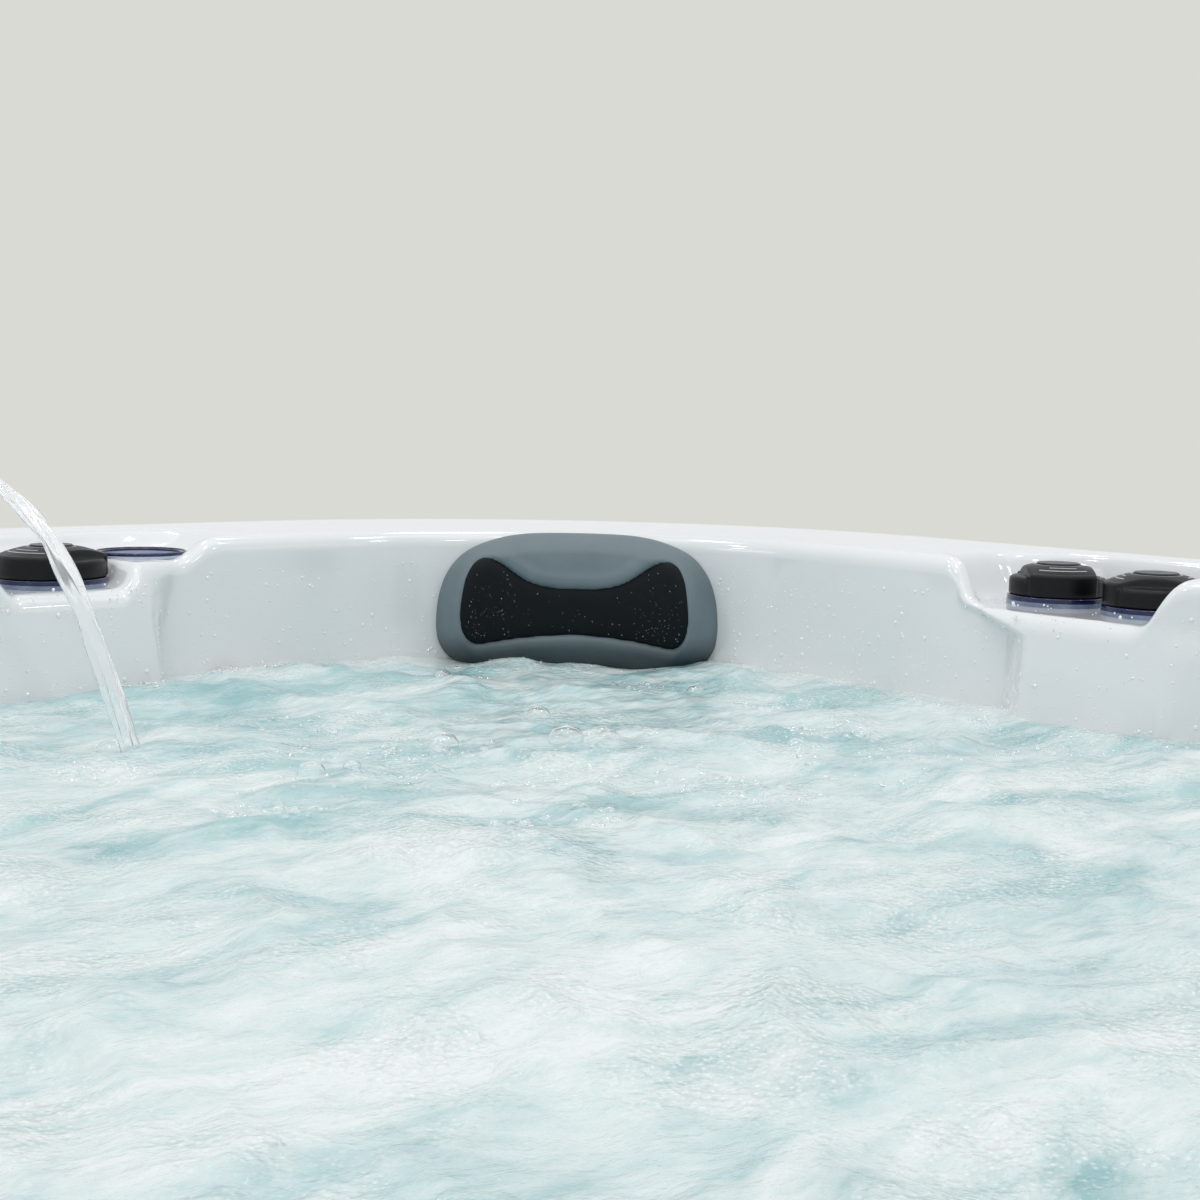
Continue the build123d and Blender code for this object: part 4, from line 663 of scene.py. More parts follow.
def in_corner(bearing, swing, level):
    out = BOWL_RADIUS - (TUB_TOP - level) * SLOPE
    middle = math.sqrt(2) * STRAIGHT
    b, faced = math.radians(bearing), math.radians(bearing + swing)
    return inward((middle * math.cos(b) + out * math.cos(faced), middle * math.sin(b) + out * math.sin(faced), level),
                  bearing + swing, 3)


def tube_mesh(profile, count, place=Matrix.Identity(4)):
    """A closed lathe form from (radius, height) pairs, the first and last of which lie on the axis or meet."""
    points, faces = [], []
    ring_of = []
    for r, z in profile:
        if r < 1e-6:
            ring_of.append([len(points)])
            points.append(place @ Vector((0, 0, z)))
        else:
            ring_of.append(list(range(len(points), len(points) + count)))
            points += [place @ Vector((r * math.cos(2 * math.pi * i / count), r * math.sin(2 * math.pi * i / count), z))
                       for i in range(count)]
    for a, b in zip(ring_of, ring_of[1:]):
        for i in range(count):
            j = (i + 1) % count
            if len(a) == 1 and len(b) > 1:
                faces.append((a[0], b[j], b[i]))
            elif len(b) == 1 and len(a) > 1:
                faces.append((a[i], a[j], b[0]))
            elif len(a) > 1:
                faces.append((a[i], a[j], b[j], b[i]))
    return points, faces


def looped(profile, count, place=Matrix.Identity(4)):
    """A closed ring form from a closed loop of (radius, height) pairs."""
    points, faces = [], []
    for r, z in profile:
        points += [place @ Vector((r * math.cos(2 * math.pi * i / count), r * math.sin(2 * math.pi * i / count), z))
                   for i in range(count)]
    size = len(profile)
    for k in range(size):
        a, b = k * count, (k + 1) % size * count
        faces += [(a + i, a + (i + 1) % count, b + (i + 1) % count, b + i) for i in range(count)]
    return points, faces


def at(x, y, z, turn=0.0):
    return Matrix.Translation((x, y, z)) @ Matrix.Rotation(math.radians(turn), 4, "Z")


def in_metres(parts):
    return [([Vector(p) * MM for p in points], faces) for points, faces in parts]


# ---------------------------------------------------------------- places of the fittings
CAP_BASE = 867.0
CUPS = ((332.0, 905.0), (-332.0, -905.0))
PILLOW_BEARINGS = (45, 135, 315)
PILLOW_TOP, PILLOW_BOTTOM = 899.0, 752.0
valve_spots = {                                                      # x, y, cap radius, turn
    "right_control_1": (934.0, 289.0, 44.5, 44.0),
    "right_control_2": (925.0, 182.0, 44.5, 123.0),
    "left_diverter": (234.0, 886.0, 49.5, 20.0),
    "front_diverter": (-234.0, -886.0, 49.5, 200.0),
}
DISC_RADIUS = 19.0


# ---------------------------------------------------------------- holes through the shell
def shell_holes():
    cutters = []

    def bore(radius, place, low, high):
        cutters.append(tube_mesh([(0, low), (radius, low), (radius, high), (0, high)], 48, place))

    def slot_cut(width, height, low, high, place):
        corners = [(-1, -1), (1, -1), (1, 1), (-1, 1)]
        points = [place @ Vector((a * width / 2, b * height / 2, z)) for z in (low, high) for a, b in corners]
        faces = [(3, 2, 1, 0), (4, 5, 6, 7)] + [(i, (i + 1) % 4, 4 + (i + 1) % 4, 4 + i) for i in range(4)]
        cutters.append((points, faces))

    for x, y, _, _ in valve_spots.values():
        bore(30.2, at(x, y, 858), -30, 20)
    for x, y in CUPS:
        bore(38.7, at(x, y, 880), -30, 20)
    for bearing, along in ((0, -260), (90, 260), (180, -260), (270, 260)):
        bore(36.2, on_side(bearing, along, 610), -24, 24)
    for bearing in (45, 135, 225, 315):
        for swing in (-14, 14):
            for level in (560, 650):
                bore(20.2, in_corner(bearing, swing, level), -24, 24)
    for bearing in (0, 180):
        bore(34.2, on_side(bearing, 0, 264, 440, SEAT, 6), -24, 24)
    bore(40.2, on_side(270, 0, 290, 440, SEAT, 6), -24, 24)
    peg_swing = math.degrees(75 / BOWL_RADIUS)
    for bearing in PILLOW_BEARINGS:
        for swing in (-peg_swing, peg_swing):
            bore(6.4, in_corner(bearing, swing, (PILLOW_TOP + PILLOW_BOTTOM) / 2 + 10), -24, 24)
    filter_at = box_middle("filter_lid")
    bore(74.2, at(filter_at.x, filter_at.y, 900), -24, 24)
    slot_cut(124.4, 92.4, -30, 30, in_corner(225, 0, 758))
    bore(18.2, at(70, 955, 900), -24, 24)
    panel_at = box_middle("panel_housing")
    slot_cut(62, 156, -24, 24, at(panel_at.x, panel_at.y, 858))
    return join("hole_cutter", in_metres(cutters))


def box_middle(node):
    """The middle of a CAD node's box, in millimetres."""
    low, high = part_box(node)
    return (Vector(low) + Vector(high)) / 2 / MM


shell = build_shell()
cutter = shell_holes()
cut = shell.modifiers.new("cut", "BOOLEAN")
cut.operation = "DIFFERENCE"
cut.solver = "MANIFOLD"
cut.object = cutter
apply_modifiers(shell)
bpy.data.objects.remove(cutter)
paint(shell, finishes["acrylic"])
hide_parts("shell")
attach(shell, "body")


# ---------------------------------------------------------------- valve caps

def cap_top(radius, r, y):
    """The height of a cap's top: a raised band along X, with a lower step at each side of it."""
    half_band = 0.68 * radius
    lower = smooth((np.abs(y) - half_band + 1.3) / 2.6)
    rise = np.clip((radius - 3.5 - r) / (radius - 3.5 - 22.5), 0, 1)
    band = 20.6 + 6.6 * (1 - (1 - rise) ** 1.35)
    side = 15.8 + 1.4 * np.clip((radius - r) / 10, 0, 1)
    return band * (1 - lower) + side * lower, lower


def cap_form(radius, place):
    count = 360
    turn = np.arange(count) * 2 * np.pi / count
    sin, cos = np.sin(turn), np.cos(turn)
    _, outside = cap_top(radius, radius, radius * sin)
    skirt = radius - 1.1 * outside
    rings = []

    def ring(r, z):
        r = np.broadcast_to(r, (count,))
        rings.append(np.stack([r * cos, r * sin, np.broadcast_to(z, (count,))], 1))

    ring(skirt - 5, 0.0)
    ring(skirt - 0.9, 0.0)
    ring(skirt, 0.9)
    edge = 3.4
    top_edge, _ = cap_top(radius, skirt - edge, (skirt - edge) * sin)
    for share in (0.25, 0.5, 0.75, 1.0):
        ring(skirt, 0.9 + (top_edge - edge - 0.9) * share)
    for i in range(1, 8):
        lean = math.pi / 2 * i / 7
        r = skirt - edge * (1 - math.cos(lean))
        z, _ = cap_top(radius, r, r * sin)
        ring(r, z - edge * (1 - math.sin(lean)))
    inner = DISC_RADIUS + 2.2
    start = radius - 1.1 - edge
    steps = int((start - inner) / 0.8)
    for i in range(1, steps + 1):
        share = i / steps
        r = (skirt - edge) * (1 - share) + inner * share
        z, _ = cap_top(radius, r, r * sin)
        ring(r, z)
    middle_top = 27.2
    ring(DISC_RADIUS + 1.0, middle_top - 0.1)
    ring(DISC_RADIUS + 0.35, middle_top - 0.7)
    ring(DISC_RADIUS + 0.25, middle_top - 2.55)
    points = np.vstack(rings)
    faces = []
    for k in range(len(rings) - 1):
        a, b = k * count, (k + 1) * count
        faces += [(a + i, a + (i + 1) % count, b + (i + 1) % count, b + i) for i in range(count)]
    points = np.vstack([points, [[0, 0, 0.0], [0, 0, middle_top - 2.55]]])
    first, last = len(points) - 2, (len(rings) - 1) * count
    faces += [((i + 1) % count, i, first) for i in range(count)]
    faces += [(last + i, last + (i + 1) % count, first + 1) for i in range(count)]
    return [place @ Vector(p) for p in points], faces


def mark_form(radius, inner, outer, start, end, place, steps):
    """A thin raised line along an arc on a cap's top. A full turn closes on itself."""
    whole = end - start > 359
    angles_at = [math.radians(start + (end - start) * i / steps) for i in range(steps + (0 if whole else 1))]
    points, faces = [], []
    for turn in angles_at:
        for r, lift in ((inner, -0.4), (inner, 0.16), (outer, 0.16), (outer, -0.4)):
            z, _ = cap_top(radius, np.array(r), np.array(r * math.sin(turn)))
            points.append(place @ Vector((r * math.cos(turn), r * math.sin(turn), float(z) + lift)))
    size = len(angles_at)
    for k in range(size if whole else size - 1):
        a, b = 4 * k, 4 * ((k + 1) % size)
        faces += [(a + i, a + (i + 1) % 4, b + (i + 1) % 4, b + i) for i in range(4)]
    if not whole:
        faces += [(3, 2, 1, 0), tuple(4 * (size - 1) + i for i in range(4))]
    return points, faces


for name, (x, y, radius, turn) in valve_spots.items():
    spot = at(x, y, CAP_BASE, turn)
    cap = join(f"{name}_turned_cap", in_metres([cap_form(radius, spot)]))
    paint(cap, finishes["cap_black"])
    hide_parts(f"{name}_cap")
    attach(cap, name)
    lines = [mark_form(radius, DISC_RADIUS + 1.7, DISC_RADIUS + 3.1, 0, 360, spot, 120)]
    for middle in (0, 180):
        for r, half_angle in ((radius * 0.64, 25), (radius * 0.77, 38)):
            lines.append(mark_form(radius, r - 0.7, r + 0.7, middle - half_angle, middle + half_angle, spot, 24))
    marks = join(f"{name}_printed_lines", in_metres(lines))
    paint(marks, finishes["cap_mark"])
    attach(marks, name)

# ---------------------------------------------------------------- cup holders' rings
outer_rings, pale_rings = [], []
for x, y in CUPS:
    spot = at(x, y, 882.5)
    outline = [(42.9, 0.0), (43.0, 1.6), (42.6, 2.7), (41.9, 3.2), (41.2, 2.9), (40.8, 2.1), (40.8, 0.0)]
    outer_rings.append(looped(outline, 120, spot))
    inner_line = [(38.4, 0.0), (38.4, 1.5), (38.0, 2.0), (37.5, 2.0), (37.0, 1.4), (37.0, 0.0)]
    outer_rings.append(looped(inner_line, 120, spot))
    pale_rings.append(looped([(40.9, 0.0), (40.9, 1.9), (38.3, 1.1), (38.3, 0.0)], 120, spot))
rings = join("cup_holder_blue_rings", in_metres(outer_rings))
paint(rings, finishes["blue_ring"])
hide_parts("cup_holder_rings")
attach(rings, "body")
pale = join("cup_holder_pale_rings", in_metres(pale_rings))
paint(pale, finishes["cup_plastic"])
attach(pale, "body")


# ---------------------------------------------------------------- pillows
def spline(points, closed, density=10):
    """A Catmull-Rom curve through points."""
    points = [np.array(p, float) for p in points]
    if closed:
        points = [points[-1]] + points + points[:2]
    else:
        points = [2 * points[0] - points[1]] + points + [2 * points[-1] - points[-2]]
    made = []
    for p0, p1, p2, p3 in zip(points, points[1:], points[2:], points[3:]):
        for i in range(density):
            t = i / density
            made.append(0.5 * (2 * p1 + (p2 - p0) * t + (2 * p0 - 5 * p1 + 4 * p2 - p3) * t * t
                               + (3 * p1 - p0 - 3 * p2 + p3) * t ** 3))
    if not closed:
        made.append(points[-2])
    return np.array(made)


# Half the pillow's width at distances below its top.
PILLOW_HALVES = [(0, 0), (0.25, 28), (0.9, 48), (2.2, 62), (5.2, 79), (12.2, 100.5), (21.8, 117.5), (35.5, 130),
                 (50, 137.6), (68, 142.6), (88, 144.8), (102, 144.6), (112, 143), (120, 139.4), (128, 133.6),
                 (136, 124), (142, 112), (145.6, 96), (146.6, 60), (147, 0)]
INSERT_HALF = [(0, 53.4), (26, 52.8), (46, 48.0), (60, 40.0), (73, 30.6), (84, 25.0), (94, 25.2), (103, 32.0),
               (111, 47.0), (116, 68.0), (117.4, 86), (115, 100), (108, 109.5), (99, 112.6), (84, 110.8),
               (52, 106.2), (0, 102.8)]
WALL_TO_FRONT = 1.115


def pillow_depth(t):
    """The pillow's thickness at a distance below its top."""
    return 23 + 21 * np.sin(np.clip(t / 147, 0, 1) ** 0.8 * np.pi * 0.82) ** 0.85


def outline_distance(x, t, outline):
    """The least distance from places to an outline, and whether they lie inside it."""
    a, b = outline, np.roll(outline, -1, 0)
    best = np.full(x.shape, 1e9)
    crossings = np.zeros(x.shape, int)
    for (ax, ay), (bx, by) in zip(a, b):
        dx, dy = bx - ax, by - ay
        share = np.clip(((x - ax) * dx + (t - ay) * dy) / max(dx * dx + dy * dy, 1e-9), 0, 1)
        best = np.minimum(best, np.hypot(x - ax - dx * share, t - ay - dy * share))
        crossings += ((ay > t) != (by > t)) & (x < ax + (t - ay) * dx / (dy if abs(dy) > 1e-9 else 1e-9))
    return best, crossings % 2 == 1


half_curve = spline(PILLOW_HALVES, False, 8)
pillow_outline = np.vstack([np.stack([half_curve[:, 1], half_curve[:, 0]], 1),
                            np.stack([-half_curve[::-1, 1], half_curve[::-1, 0]], 1)[1:-1]])
insert_right = [(x * WALL_TO_FRONT, t) for x, t in INSERT_HALF]
insert_outline = spline(insert_right[:-1] + [insert_right[-1]] + [(-x, t) for x, t in insert_right[-2:0:-1]], True, 6)


def pillow_point(bearing, x, t, depth):
    """A place on a corner's wall, x along it and t below the pillow's top, lifted off it by a depth."""
    z = PILLOW_TOP - t
    wall = BOWL_RADIUS - (TUB_TOP - z) * SLOPE - 0.4
    swing = np.arcsin(np.clip(x / 344.0, -0.9, 0.9))
    faced = np.radians(bearing) - swing
    middle = math.sqrt(2) * STRAIGHT
    b = math.radians(bearing)
    r = wall - depth
    return np.stack([middle * math.cos(b) + r * np.cos(faced), middle * math.sin(b) + r * np.sin(faced), z], -1)


def soft_grid(outline, rows, across):
    """Places inside an outline, row by row, close together near its edge. The first and last rows lie on it."""
    low, high = outline[:, 1].min(), outline[:, 1].max()
    spans = []
    for i in range(rows + 1):
        t = low + (high - low) * (1 - math.cos(math.pi * i / rows)) / 2
        t = min(max(t, low + 0.02), high - 0.02)
        a, b = outline, np.roll(outline, -1, 0)
        cut = (a[:, 1] - t) * (b[:, 1] - t) <= 0
        cut &= np.abs(b[:, 1] - a[:, 1]) > 1e-9
        at_x = a[cut, 0] + (t - a[cut, 1]) / (b[cut, 1] - a[cut, 1]) * (b[cut, 0] - a[cut, 0])
        spans.append((t, at_x.min(), at_x.max()))
    share = np.sin(np.linspace(-np.pi / 2, np.pi / 2, across + 1))
    x = np.array([[(low_x + high_x) / 2 + (high_x - low_x) / 2 * s for s in share] for _, low_x, high_x in spans])
    t = np.array([[row] * (across + 1) for row, _, _ in spans])
    return x, t


def closed_sheet(front, back):
    """A closed mesh from a front and a back grid of the same size."""
    rows, across = front.shape[:2]
    points = np.vstack([front.reshape(-1, 3), back.reshape(-1, 3)])
    faces = []
    offset = rows * across
    for i in range(rows - 1):
        for j in range(across - 1):
            a = i * across + j
            faces.append((a, a + 1, a + across + 1, a + across))
            faces.append((offset + a + across, offset + a + across + 1, offset + a + 1, offset + a))
    border = ([j for j in range(across)] + [i * across + across - 1 for i in range(1, rows)]
              + [(rows - 1) * across + j for j in range(across - 2, -1, -1)]
              + [i * across for i in range(rows - 2, 0, -1)])
    for a, b in zip(border, border[1:] + border[:1]):
        faces.append((b, a, offset + a, offset + b))
    return points, faces


grid_x, grid_t = soft_grid(pillow_outline, 96, 150)
edge_distance, _ = outline_distance(grid_x, grid_t, pillow_outline)
insert_distance, in_insert = outline_distance(grid_x, grid_t, insert_outline)
signed = np.where(in_insert, insert_distance, -insert_distance)
rounding = np.sqrt(np.clip(1 - (1 - np.clip(edge_distance / 19, 0, 1)) ** 2, 0, 1))
foam_depth = pillow_depth(grid_t) * rounding
foam_depth += 1.2 * np.exp(-((signed + 9) / 5) ** 2) * rounding
foam_depth -= 2.6 * smooth((signed + 3.4) / 4.0) + 9.5 * smooth((signed - 0.6) / 3.0)
foam_depth = np.maximum(foam_depth, 0.3)

insert_x, insert_t = soft_grid(insert_outline, 60, 130)
dark_distance, _ = outline_distance(insert_x, insert_t, insert_outline)
dark_depth = pillow_depth(insert_t) - 6.0
dark_depth += 5.2 * np.sqrt(np.clip(1 - (1 - np.clip(dark_distance / 16, 0, 1)) ** 2.4, 0, 1))

for number, bearing in enumerate(PILLOW_BEARINGS, 1):
    points, faces = closed_sheet(pillow_point(bearing, grid_x, grid_t, foam_depth),
                                 pillow_point(bearing, grid_x, grid_t, np.zeros_like(foam_depth)))
    cushion = mesh_object(f"pillow_cushion_{number}", points * MM, faces)
    paint(cushion, finishes["pillow_foam"])
    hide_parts(f"pillow_{number}")
    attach(cushion, "body")
    points, faces = closed_sheet(pillow_point(bearing, insert_x, insert_t, dark_depth),
                                 pillow_point(bearing, insert_x, insert_t, dark_depth * 0 + 31 * (dark_depth > 0) - 2))
    insert = mesh_object(f"pillow_dark_pad_{number}", points * MM, faces)
    paint(insert, finishes["pillow_dark"])
    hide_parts(f"pillow_insert_{number}")
    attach(insert, "body")


# ---------------------------------------------------------------- the water
def water_line(z):
    return contour(BOWL_HALF, STRAIGHT, side_bulge(np.full(len(columns), z)) + (TUB_TOP - z) * SLOPE)


def wave_height(x, y):
    """The water's height above its level at places in millimetres."""
    made = np.zeros_like(x)
    chance = np.random.RandomState(11)
    for length, size, count in ((420, 3.4, 6), (210, 2.4, 9), (105, 1.5, 14), (52, 0.8, 18), (27, 0.4, 22)):
        for _ in range(count):
            bearing = chance.uniform(0, 2 * np.pi)
            wave = 2 * np.pi / (length * chance.uniform(0.7, 1.3))
            phase = chance.uniform(0, 2 * np.pi)
            bent = phase + 0.9 * np.sin(wave * 0.45 * (x * np.sin(bearing) - y * np.cos(bearing)) + 2 * phase)
            made += size / math.sqrt(count) * np.sin(wave * (x * np.cos(bearing) + y * np.sin(bearing)) + bent)
    return made


def boil(x, y):
    """Sharper low heaps where the jets push up foam."""
    made = np.zeros_like(x)
    flat_x, flat_y = x.ravel(), y.ravel()
    out = made.ravel()
    for i in range(len(out)):
        place = Vector((flat_x[i] / 115, flat_y[i] / 115, 3.7))
        first = 1 - abs(noise.noise(place))
        second = 1 - abs(noise.noise(place * 2.9 + Vector((5, 1, 2))))
        out[i] = 4.6 * first ** 5 + 1.7 * second ** 4
    return out.reshape(x.shape) - 2.4


def build_water():
    """A sheet of waves, cut to the bowl's outline a hair inside the acrylic."""
    edge = water_line(WATER)
    bearing = np.arctan2(edge[:, 1], edge[:, 0])
    order = np.argsort(bearing)
    bearing, far = bearing[order], np.hypot(edge[:, 0], edge[:, 1])[order]
    size = 380
    line = np.linspace(-870, 870, size + 1)
    x, y = np.meshgrid(line, line, indexing="ij")
    share = np.hypot(x, y) / np.interp(np.arctan2(y, x), bearing, far, period=2 * np.pi)
    height = wave_height(x, y) + boil(x, y)
    near_wall = smooth((share - 0.94) / 0.06)
    height = height * (1 - 0.45 * near_wall) + 2.2 * near_wall
    top = np.stack([x, y, WATER + height], -1)
    under = np.stack([x, y, np.full_like(x, WATER - 34)], -1)
    points, faces = closed_sheet(top, under)
    sheet = mesh_object("pool_water", points * MM, faces)
    rings = [np.column_stack([water_line(z) * (1 + 1.5 / BOWL_HALF), np.full(len(columns), z)])
             for z in (WATER - 60, WATER + 40)]
    count = len(columns)
    points = np.vstack(rings + [[[0, 0, WATER - 60], [0, 0, WATER + 40]]])
    faces = []
    for i in range(count):
        j = (i + 1) % count
        faces += [(i, j, count + j, count + i), (j, i, 2 * count), (count + i, count + j, 2 * count + 1)]
    bowl = mesh_object("bowl_cutter", points * MM, faces)
    cut = sheet.modifiers.new("cut", "BOOLEAN")
    cut.operation = "INTERSECT"
    cut.solver = "MANIFOLD"
    cut.object = bowl
    apply_modifiers(sheet)
    bpy.data.objects.remove(bowl)
    sheet.data.set_sharp_from_angle(angle=math.radians(60))
    return sheet


water = build_water()
paint(water, finishes["pool_water"])
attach(water, "body")


# ---------------------------------------------------------------- drops and bubbles
def domes(places, count):
    """Low round drops: each place has a centre, a direction, a radius, a height and a stretch downwards."""
    points, faces = [], []
    for centre, out, radius, height, stretch in places:
        out = out.normalized()
        down = (Vector((0, 0, -1)) - out * out.dot(Vector((0, 0, -1)))).normalized()
        if down.length < 0.5:
            down = Vector((1, 0, 0))
        level_way = out.cross(down)
        start = len(points)
        for share, lift in ((1.0, -0.12), (0.94, 0.32), (0.66, 0.76)):
            for i in range(count):
                turn = 2 * math.pi * i / count
                a, b = math.cos(turn), math.sin(turn)
                along = a * (stretch if a > 0 else 1.0)
                points.append(centre + down * along * radius * share + level_way * b * radius * share
                              + out * lift * height)
        points.append(centre + out * height)
        points.append(centre - out * 0.12 * height)
        for k in range(2):
            for i in range(count):
                j = (i + 1) % count
                a, b = start + k * count, start + (k + 1) * count
                faces.append((a + i, b + i, b + j, a + j))
        last = start + 2 * count
        for i in range(count):
            j = (i + 1) % count
            faces.append((last + i, start + 3 * count, last + j))
            faces.append((start + j, start + 3 * count + 1, start + i))
    return points, faces


def wall_drops():
    chance = random.Random(5)
    levels = np.arange(772.0, 872.0, 4.0)
    lines = [water_line(z) for z in levels]
    total = len(columns)
    places = []
    wanted = 2600
    weights = []
    for side, share, is_straight, angle in zip(sides, shares, straight, angles):
        weights.append(1.0)
    outline = lines[0]
    steps = np.hypot(*(np.roll(outline, -1, 0) - outline).T)
    bearing = np.degrees(np.arctan2(outline[:, 1], outline[:, 0]))
    seen = np.where((bearing > -20) & (bearing < 110), 1.0, 0.12)
    odds = np.cumsum(steps * seen)
    for _ in range(wanted):
        i = int(np.searchsorted(odds, chance.random() * odds[-1])) % total
        k = min(int(chance.random() ** 1.35 * len(levels)), len(levels) - 2)
        share, rise = chance.random(), chance.random()
        j = (i + 1) % total
        low = lines[k][i] * (1 - share) + lines[k][j] * share
        high = lines[k + 1][i] * (1 - share) + lines[k + 1][j] * share
        place = low * (1 - rise) + high * rise
        z = levels[k] + 4.0 * rise
        turn = lines[k][j] - lines[k][i]
        normal = Vector((-turn[1], turn[0], 0)).normalized() + Vector((0, 0, 0.05))
        spot = Vector((place[0], place[1], z))
        if on_pillow(spot) or normal.length < 0.5:
            continue
        radius = 0.4 + 0.5 * chance.random() + (1.3 * chance.random() ** 2 if chance.random() < 0.35 else 0)
        places.append((spot, normal, radius, radius * 0.55, 1.0 + chance.random() * (0.6 if radius > 1.1 else 0.1)))
    return places


def on_pillow(spot):
    for bearing in PILLOW_BEARINGS:
        b = math.radians(bearing)
        across_it = abs(-spot.x * math.sin(b) + spot.y * math.cos(b))
        outwards = spot.x * math.cos(b) + spot.y * math.sin(b)
        if outwards > 900 and across_it < 139 and spot.z < 890:
            return True
    return False


def pillow_drops():
    chance = random.Random(9)
    places = []
    for _ in range(420):
        x = chance.choice((-1, 1)) * (128 - 60 * chance.random() ** 2.2) if chance.random() < 0.7 \
            else chance.uniform(-120, 120)
        t = 30 + 92 * chance.random() ** 0.6
        spot_x, spot_t = np.array([x]), np.array([t])
        edge, inside = outline_distance(spot_x, spot_t, pillow_outline)
        if not inside[0] or edge[0] < 6:
            continue
        gap, dark = outline_distance(spot_x, spot_t, insert_outline)
        if gap[0] < 5:
            continue
        round_off = math.sqrt(1 - (1 - min(edge[0] / 19, 1)) ** 2)
        depth = pillow_depth(t) * round_off if not dark[0] else pillow_depth(t) - 0.9
        spot = Vector(pillow_point(45, x, t, depth + 0.05))
        ahead = Vector((math.cos(math.radians(45)), math.sin(math.radians(45)), 0))
        aside = Vector((-ahead.y, ahead.x, 0))
        swing = math.asin(x / 344)
        out = -ahead * math.cos(swing) + aside * math.sin(swing)
        radius = 0.35 + 0.5 * chance.random() ** 2
        places.append((spot, out, radius, radius * 0.6, 1.0))
    return places


drops = join("wall_water_drops", in_metres([domes(wall_drops(), 8)]))
paint(drops, finishes["water_drops"])
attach(drops, "body")
drops = join("pillow_water_drops", in_metres([domes(pillow_drops(), 8)]))
paint(drops, finishes["pillow_drops"])
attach(drops, "body")


def bubble_places():
    chance = random.Random(21)
    places = []
    edge = water_line(WATER)
    bearing = np.degrees(np.arctan2(edge[:, 1], edge[:, 0]))
    chosen = [i for i in range(len(edge)) if -10 < bearing[i] < 100]
    up_way = Vector((0, 0, 1))
    for _ in range(2200):
        i = chance.choice(chosen)
        back = 1.0 + 30 * chance.random() ** 3
        place = Vector((edge[i][0], edge[i][1], 0))
        if abs(bearing[i] - 45) < 7.6:
            back += 40
        place -= place.normalized() * back
        radius = 0.6 + 2.6 * chance.random() ** 3
        places.append((place, up_way, radius, radius * 0.85, 1.0))
    for cx, cy, spread, count, size in BUBBLE_HEAPS:
        for _ in range(count):
            turn, far = chance.uniform(0, 2 * math.pi), spread * math.sqrt(chance.random())
            place = Vector((cx + far * math.cos(turn), cy + far * math.sin(turn), 0))
            radius = 0.5 * size * (0.22 + 0.78 * chance.random() ** 3)
            places.append((place, up_way, radius, radius * 0.85, 1.0))
    for x, y, radius in BIG_BUBBLES:
        places.append((Vector((x, y, 0)), up_way, radius, radius * 0.8, 1.0))
    x = np.array([p[0].x for p in places])
    y = np.array([p[0].y for p in places])
    height = wave_height(x, y) + boil(x, y)
    return [(Vector((p[0].x, p[0].y, WATER + float(h) - 0.2)),) + p[1:] for p, h in zip(places, height)]


BUBBLE_HEAPS = [                                                     # x, y, spread, how many, size
    (668, 560, 30, 60, 7), (560, 690, 26, 50, 7), (640, 300, 40, 80, 8), (330, 420, 46, 90, 9), (120, 300, 40, 70, 9),
    (420, 180, 60, 110, 8), (250, 180, 44, 60, 9), (480, 380, 40, 70, 8), (90, 480, 36, 50, 8), (300, 560, 50, 70, 7),
    (800, 250, 24, 60, 6), (700, 420, 40, 60, 7), (380, 300, 90, 160, 6), (560, 180, 70, 120, 6),
    (200, 400, 90, 120, 6), (740, 150, 60, 120, 6),
]
BIG_BUBBLES = [                                                      # x, y, radius
    (345, 430, 13), (322, 402, 9), (420, 372, 15), (446, 352, 9), (214, 408, 11), (238, 392, 7), (470, 470, 12),
    (135, 560, 12), (700, 520, 9), (560, 262, 9), (300, 300, 8), (540, 700, 8),
]
bubbles = join("water_bubbles", in_metres([domes(bubble_places(), 12)]))
paint(bubbles, finishes["water_bubbles"])
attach(bubbles, "body")


# ---------------------------------------------------------------- the stream of water, not part of the tub
def stream_form():
    start, end = Vector((70, 955, 0)), Vector((137, 532, 0))
    way = (end - start).normalized()
    aside = Vector((-way.y, way.x, 0))
    length = (end - start).length
    points, faces = [], []
    rows, count = 150, 28
    for i in range(rows + 1):
        s = length * i / rows
        z = 915 + 0.2027 * s + 0.001566 * s * s - 6.62e-6 * s ** 3
        ahead_z = 0.2027 + 0.003132 * s - 1.986e-5 * s * s
        tangent = (way + Vector((0, 0, ahead_z))).normalized()
        upper = aside.cross(tangent).normalized()
        centre = start + way * s + Vector((0, 0, z))
        wide = 4.6 + 1.6 * min(s / 120, 1) + 1.8 * smooth((s - 180) / 240)
        flat = 3.6 + 0.8 * min(s / 120, 1)
        for k in range(count):
            turn = 2 * math.pi * k / count
            wobble = 1 + 0.22 * math.sin(3 * turn + s / 21) + 0.14 * math.sin(5 * turn - s / 13) \
                + 0.16 * noise.noise(Vector((math.cos(turn) * 1.3, math.sin(turn) * 1.3, s / 24)))
            points.append(centre + aside * math.cos(turn) * wide * wobble + upper * math.sin(turn) * flat * wobble)
    for i in range(rows):
        a, b = i * count, (i + 1) * count
        faces += [(a + k, a + (k + 1) % count, b + (k + 1) % count, b + k) for k in range(count)]
    faces.append(tuple(range(count))[::-1])
    faces.append(tuple(rows * count + k for k in range(count)))
    return points, faces


stream = join("water_stream", in_metres([stream_form()]))
stream_finish = clear_material("water_stream", (0.97, 0.99, 1.0), 1.2, (0.04, 0.3), 0.82)
paint(stream, stream_finish)

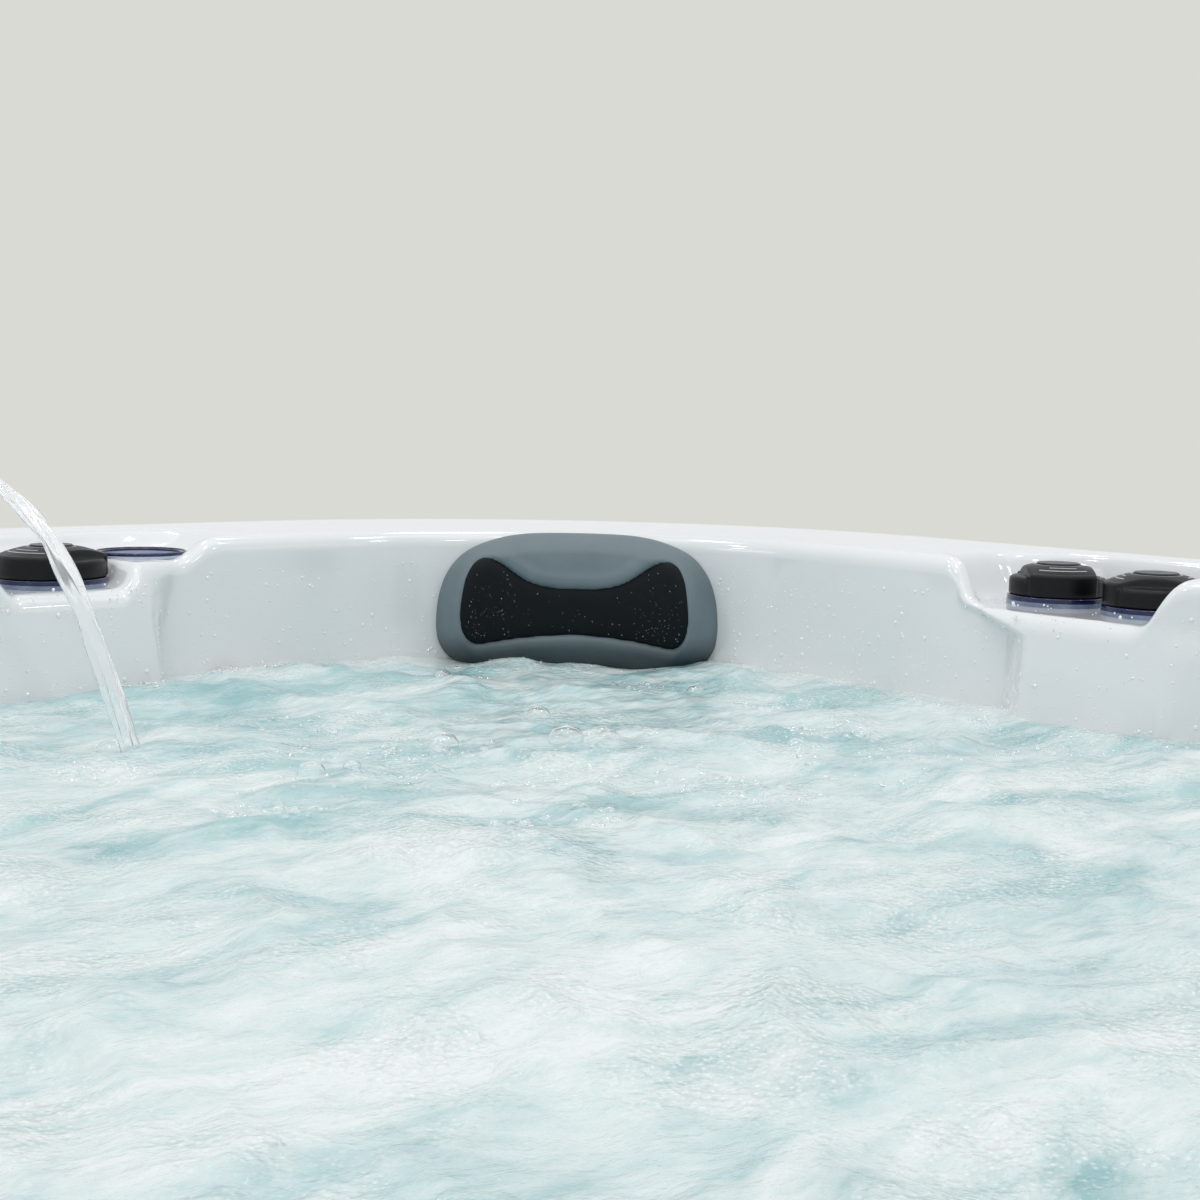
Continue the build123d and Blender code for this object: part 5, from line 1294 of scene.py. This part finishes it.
# ---------------------------------------------------------------- camera
pitch, roll = math.radians(5.96), math.radians(1.08)
level = Vector((0.6545, 0.7561, 0)).normalized()
right = Vector((level.y, -level.x, 0))
up = Vector((0, 0, 1))
ahead = level * math.cos(pitch) - up * math.sin(pitch)
head = level * math.sin(pitch) + up * math.cos(pitch)
across = right * math.cos(roll) + head * math.sin(roll)
upward = -right * math.sin(roll) + head * math.cos(roll)
camera = bpy.data.objects.new("camera", bpy.data.cameras.new("camera"))
scene.collection.objects.link(camera)
camera.data.sensor_width = 36
camera.data.lens = 54
camera.data.clip_start = 0.02
camera.data.clip_end = 200
camera.matrix_world = Matrix((
    (across.x, upward.x, -ahead.x, -0.458),
    (across.y, upward.y, -ahead.y, -0.679),
    (across.z, upward.z, -ahead.z, 1.025),
    (0, 0, 0, 1)))
scene.camera = camera

# ---------------------------------------------------------------- stage and light
world = bpy.data.worlds.new("world")
scene.world = world
world.use_nodes = True
tree = world.node_tree
background = tree.nodes["Background"]
background.inputs["Color"].default_value = (*rgb(239, 241, 241), 1)
background.inputs["Strength"].default_value = 0.62
mirrored = add_node(tree, "ShaderNodeBackground")
mirrored.inputs["Color"].default_value = (*rgb(243, 245, 246), 1)
mirrored.inputs["Strength"].default_value = 0.91
seen = add_node(tree, "ShaderNodeBackground")
seen.inputs["Color"].default_value = (*rgb(218, 218, 213), 1)
paths = tree.nodes.new("ShaderNodeLightPath")
shown = background.outputs[0]
for ray, other in (("Is Glossy Ray", mirrored), ("Is Camera Ray", seen)):
    mix = tree.nodes.new("ShaderNodeMixShader")
    tree.links.new(paths.outputs[ray], mix.inputs[0])
    tree.links.new(shown, mix.inputs[1])
    tree.links.new(other.outputs[0], mix.inputs[2])
    shown = mix.outputs[0]
tree.links.new(shown, tree.nodes["World Output"].inputs["Surface"])

floor_mesh = bmesh.new()
bmesh.ops.create_grid(floor_mesh, x_segments=2, y_segments=2, size=7.0)
floor_data = bpy.data.meshes.new("floor")
floor_mesh.to_mesh(floor_data)
floor = bpy.data.objects.new("floor", floor_data)
scene.collection.objects.link(floor)
floor_paint, tree, shader = new_material("floor_paint")
shader.inputs["Base Color"].default_value = (*rgb(216, 215, 211), 1)
shader.inputs["Roughness"].default_value = 0.7
paint(floor, floor_paint)


def lamp(name, place, aim, size, power, colour=(1, 1, 1)):
    data = bpy.data.lights.new(name, "AREA")
    data.shape = "RECTANGLE"
    data.size, data.size_y = size
    data.energy = power
    data.color = colour
    made = bpy.data.objects.new(name, data)
    scene.collection.objects.link(made)
    made.location = place
    made.rotation_mode = "QUATERNION"
    made.rotation_quaternion = (Vector(aim) - Vector(place)).to_track_quat("-Z", "Y")
    return made


lamp("overhead", (0.2, 0.2, 3.6), (0, 0, 0.8), (2.4, 2.4), 15)
lamp("window", (-2.6, 1.6, 2.6), (0, 0, 0.8), (1.4, 1.0), 7, (0.99, 1.0, 1.0))
lamp("fill", (2.2, -2.2, 2.4), (0, 0, 0.8), (1.4, 1.0), 2.5, (1.0, 0.99, 0.98))
for row in range(3):
    for place in range(4):
        x, y = -1.9 + 1.15 * place, -1.5 + 1.5 * row
        lamp(f"ceiling_panel_{row}_{place}", (x, y, 3.1), (x, y, 0), (0.26, 0.16), 3.0)
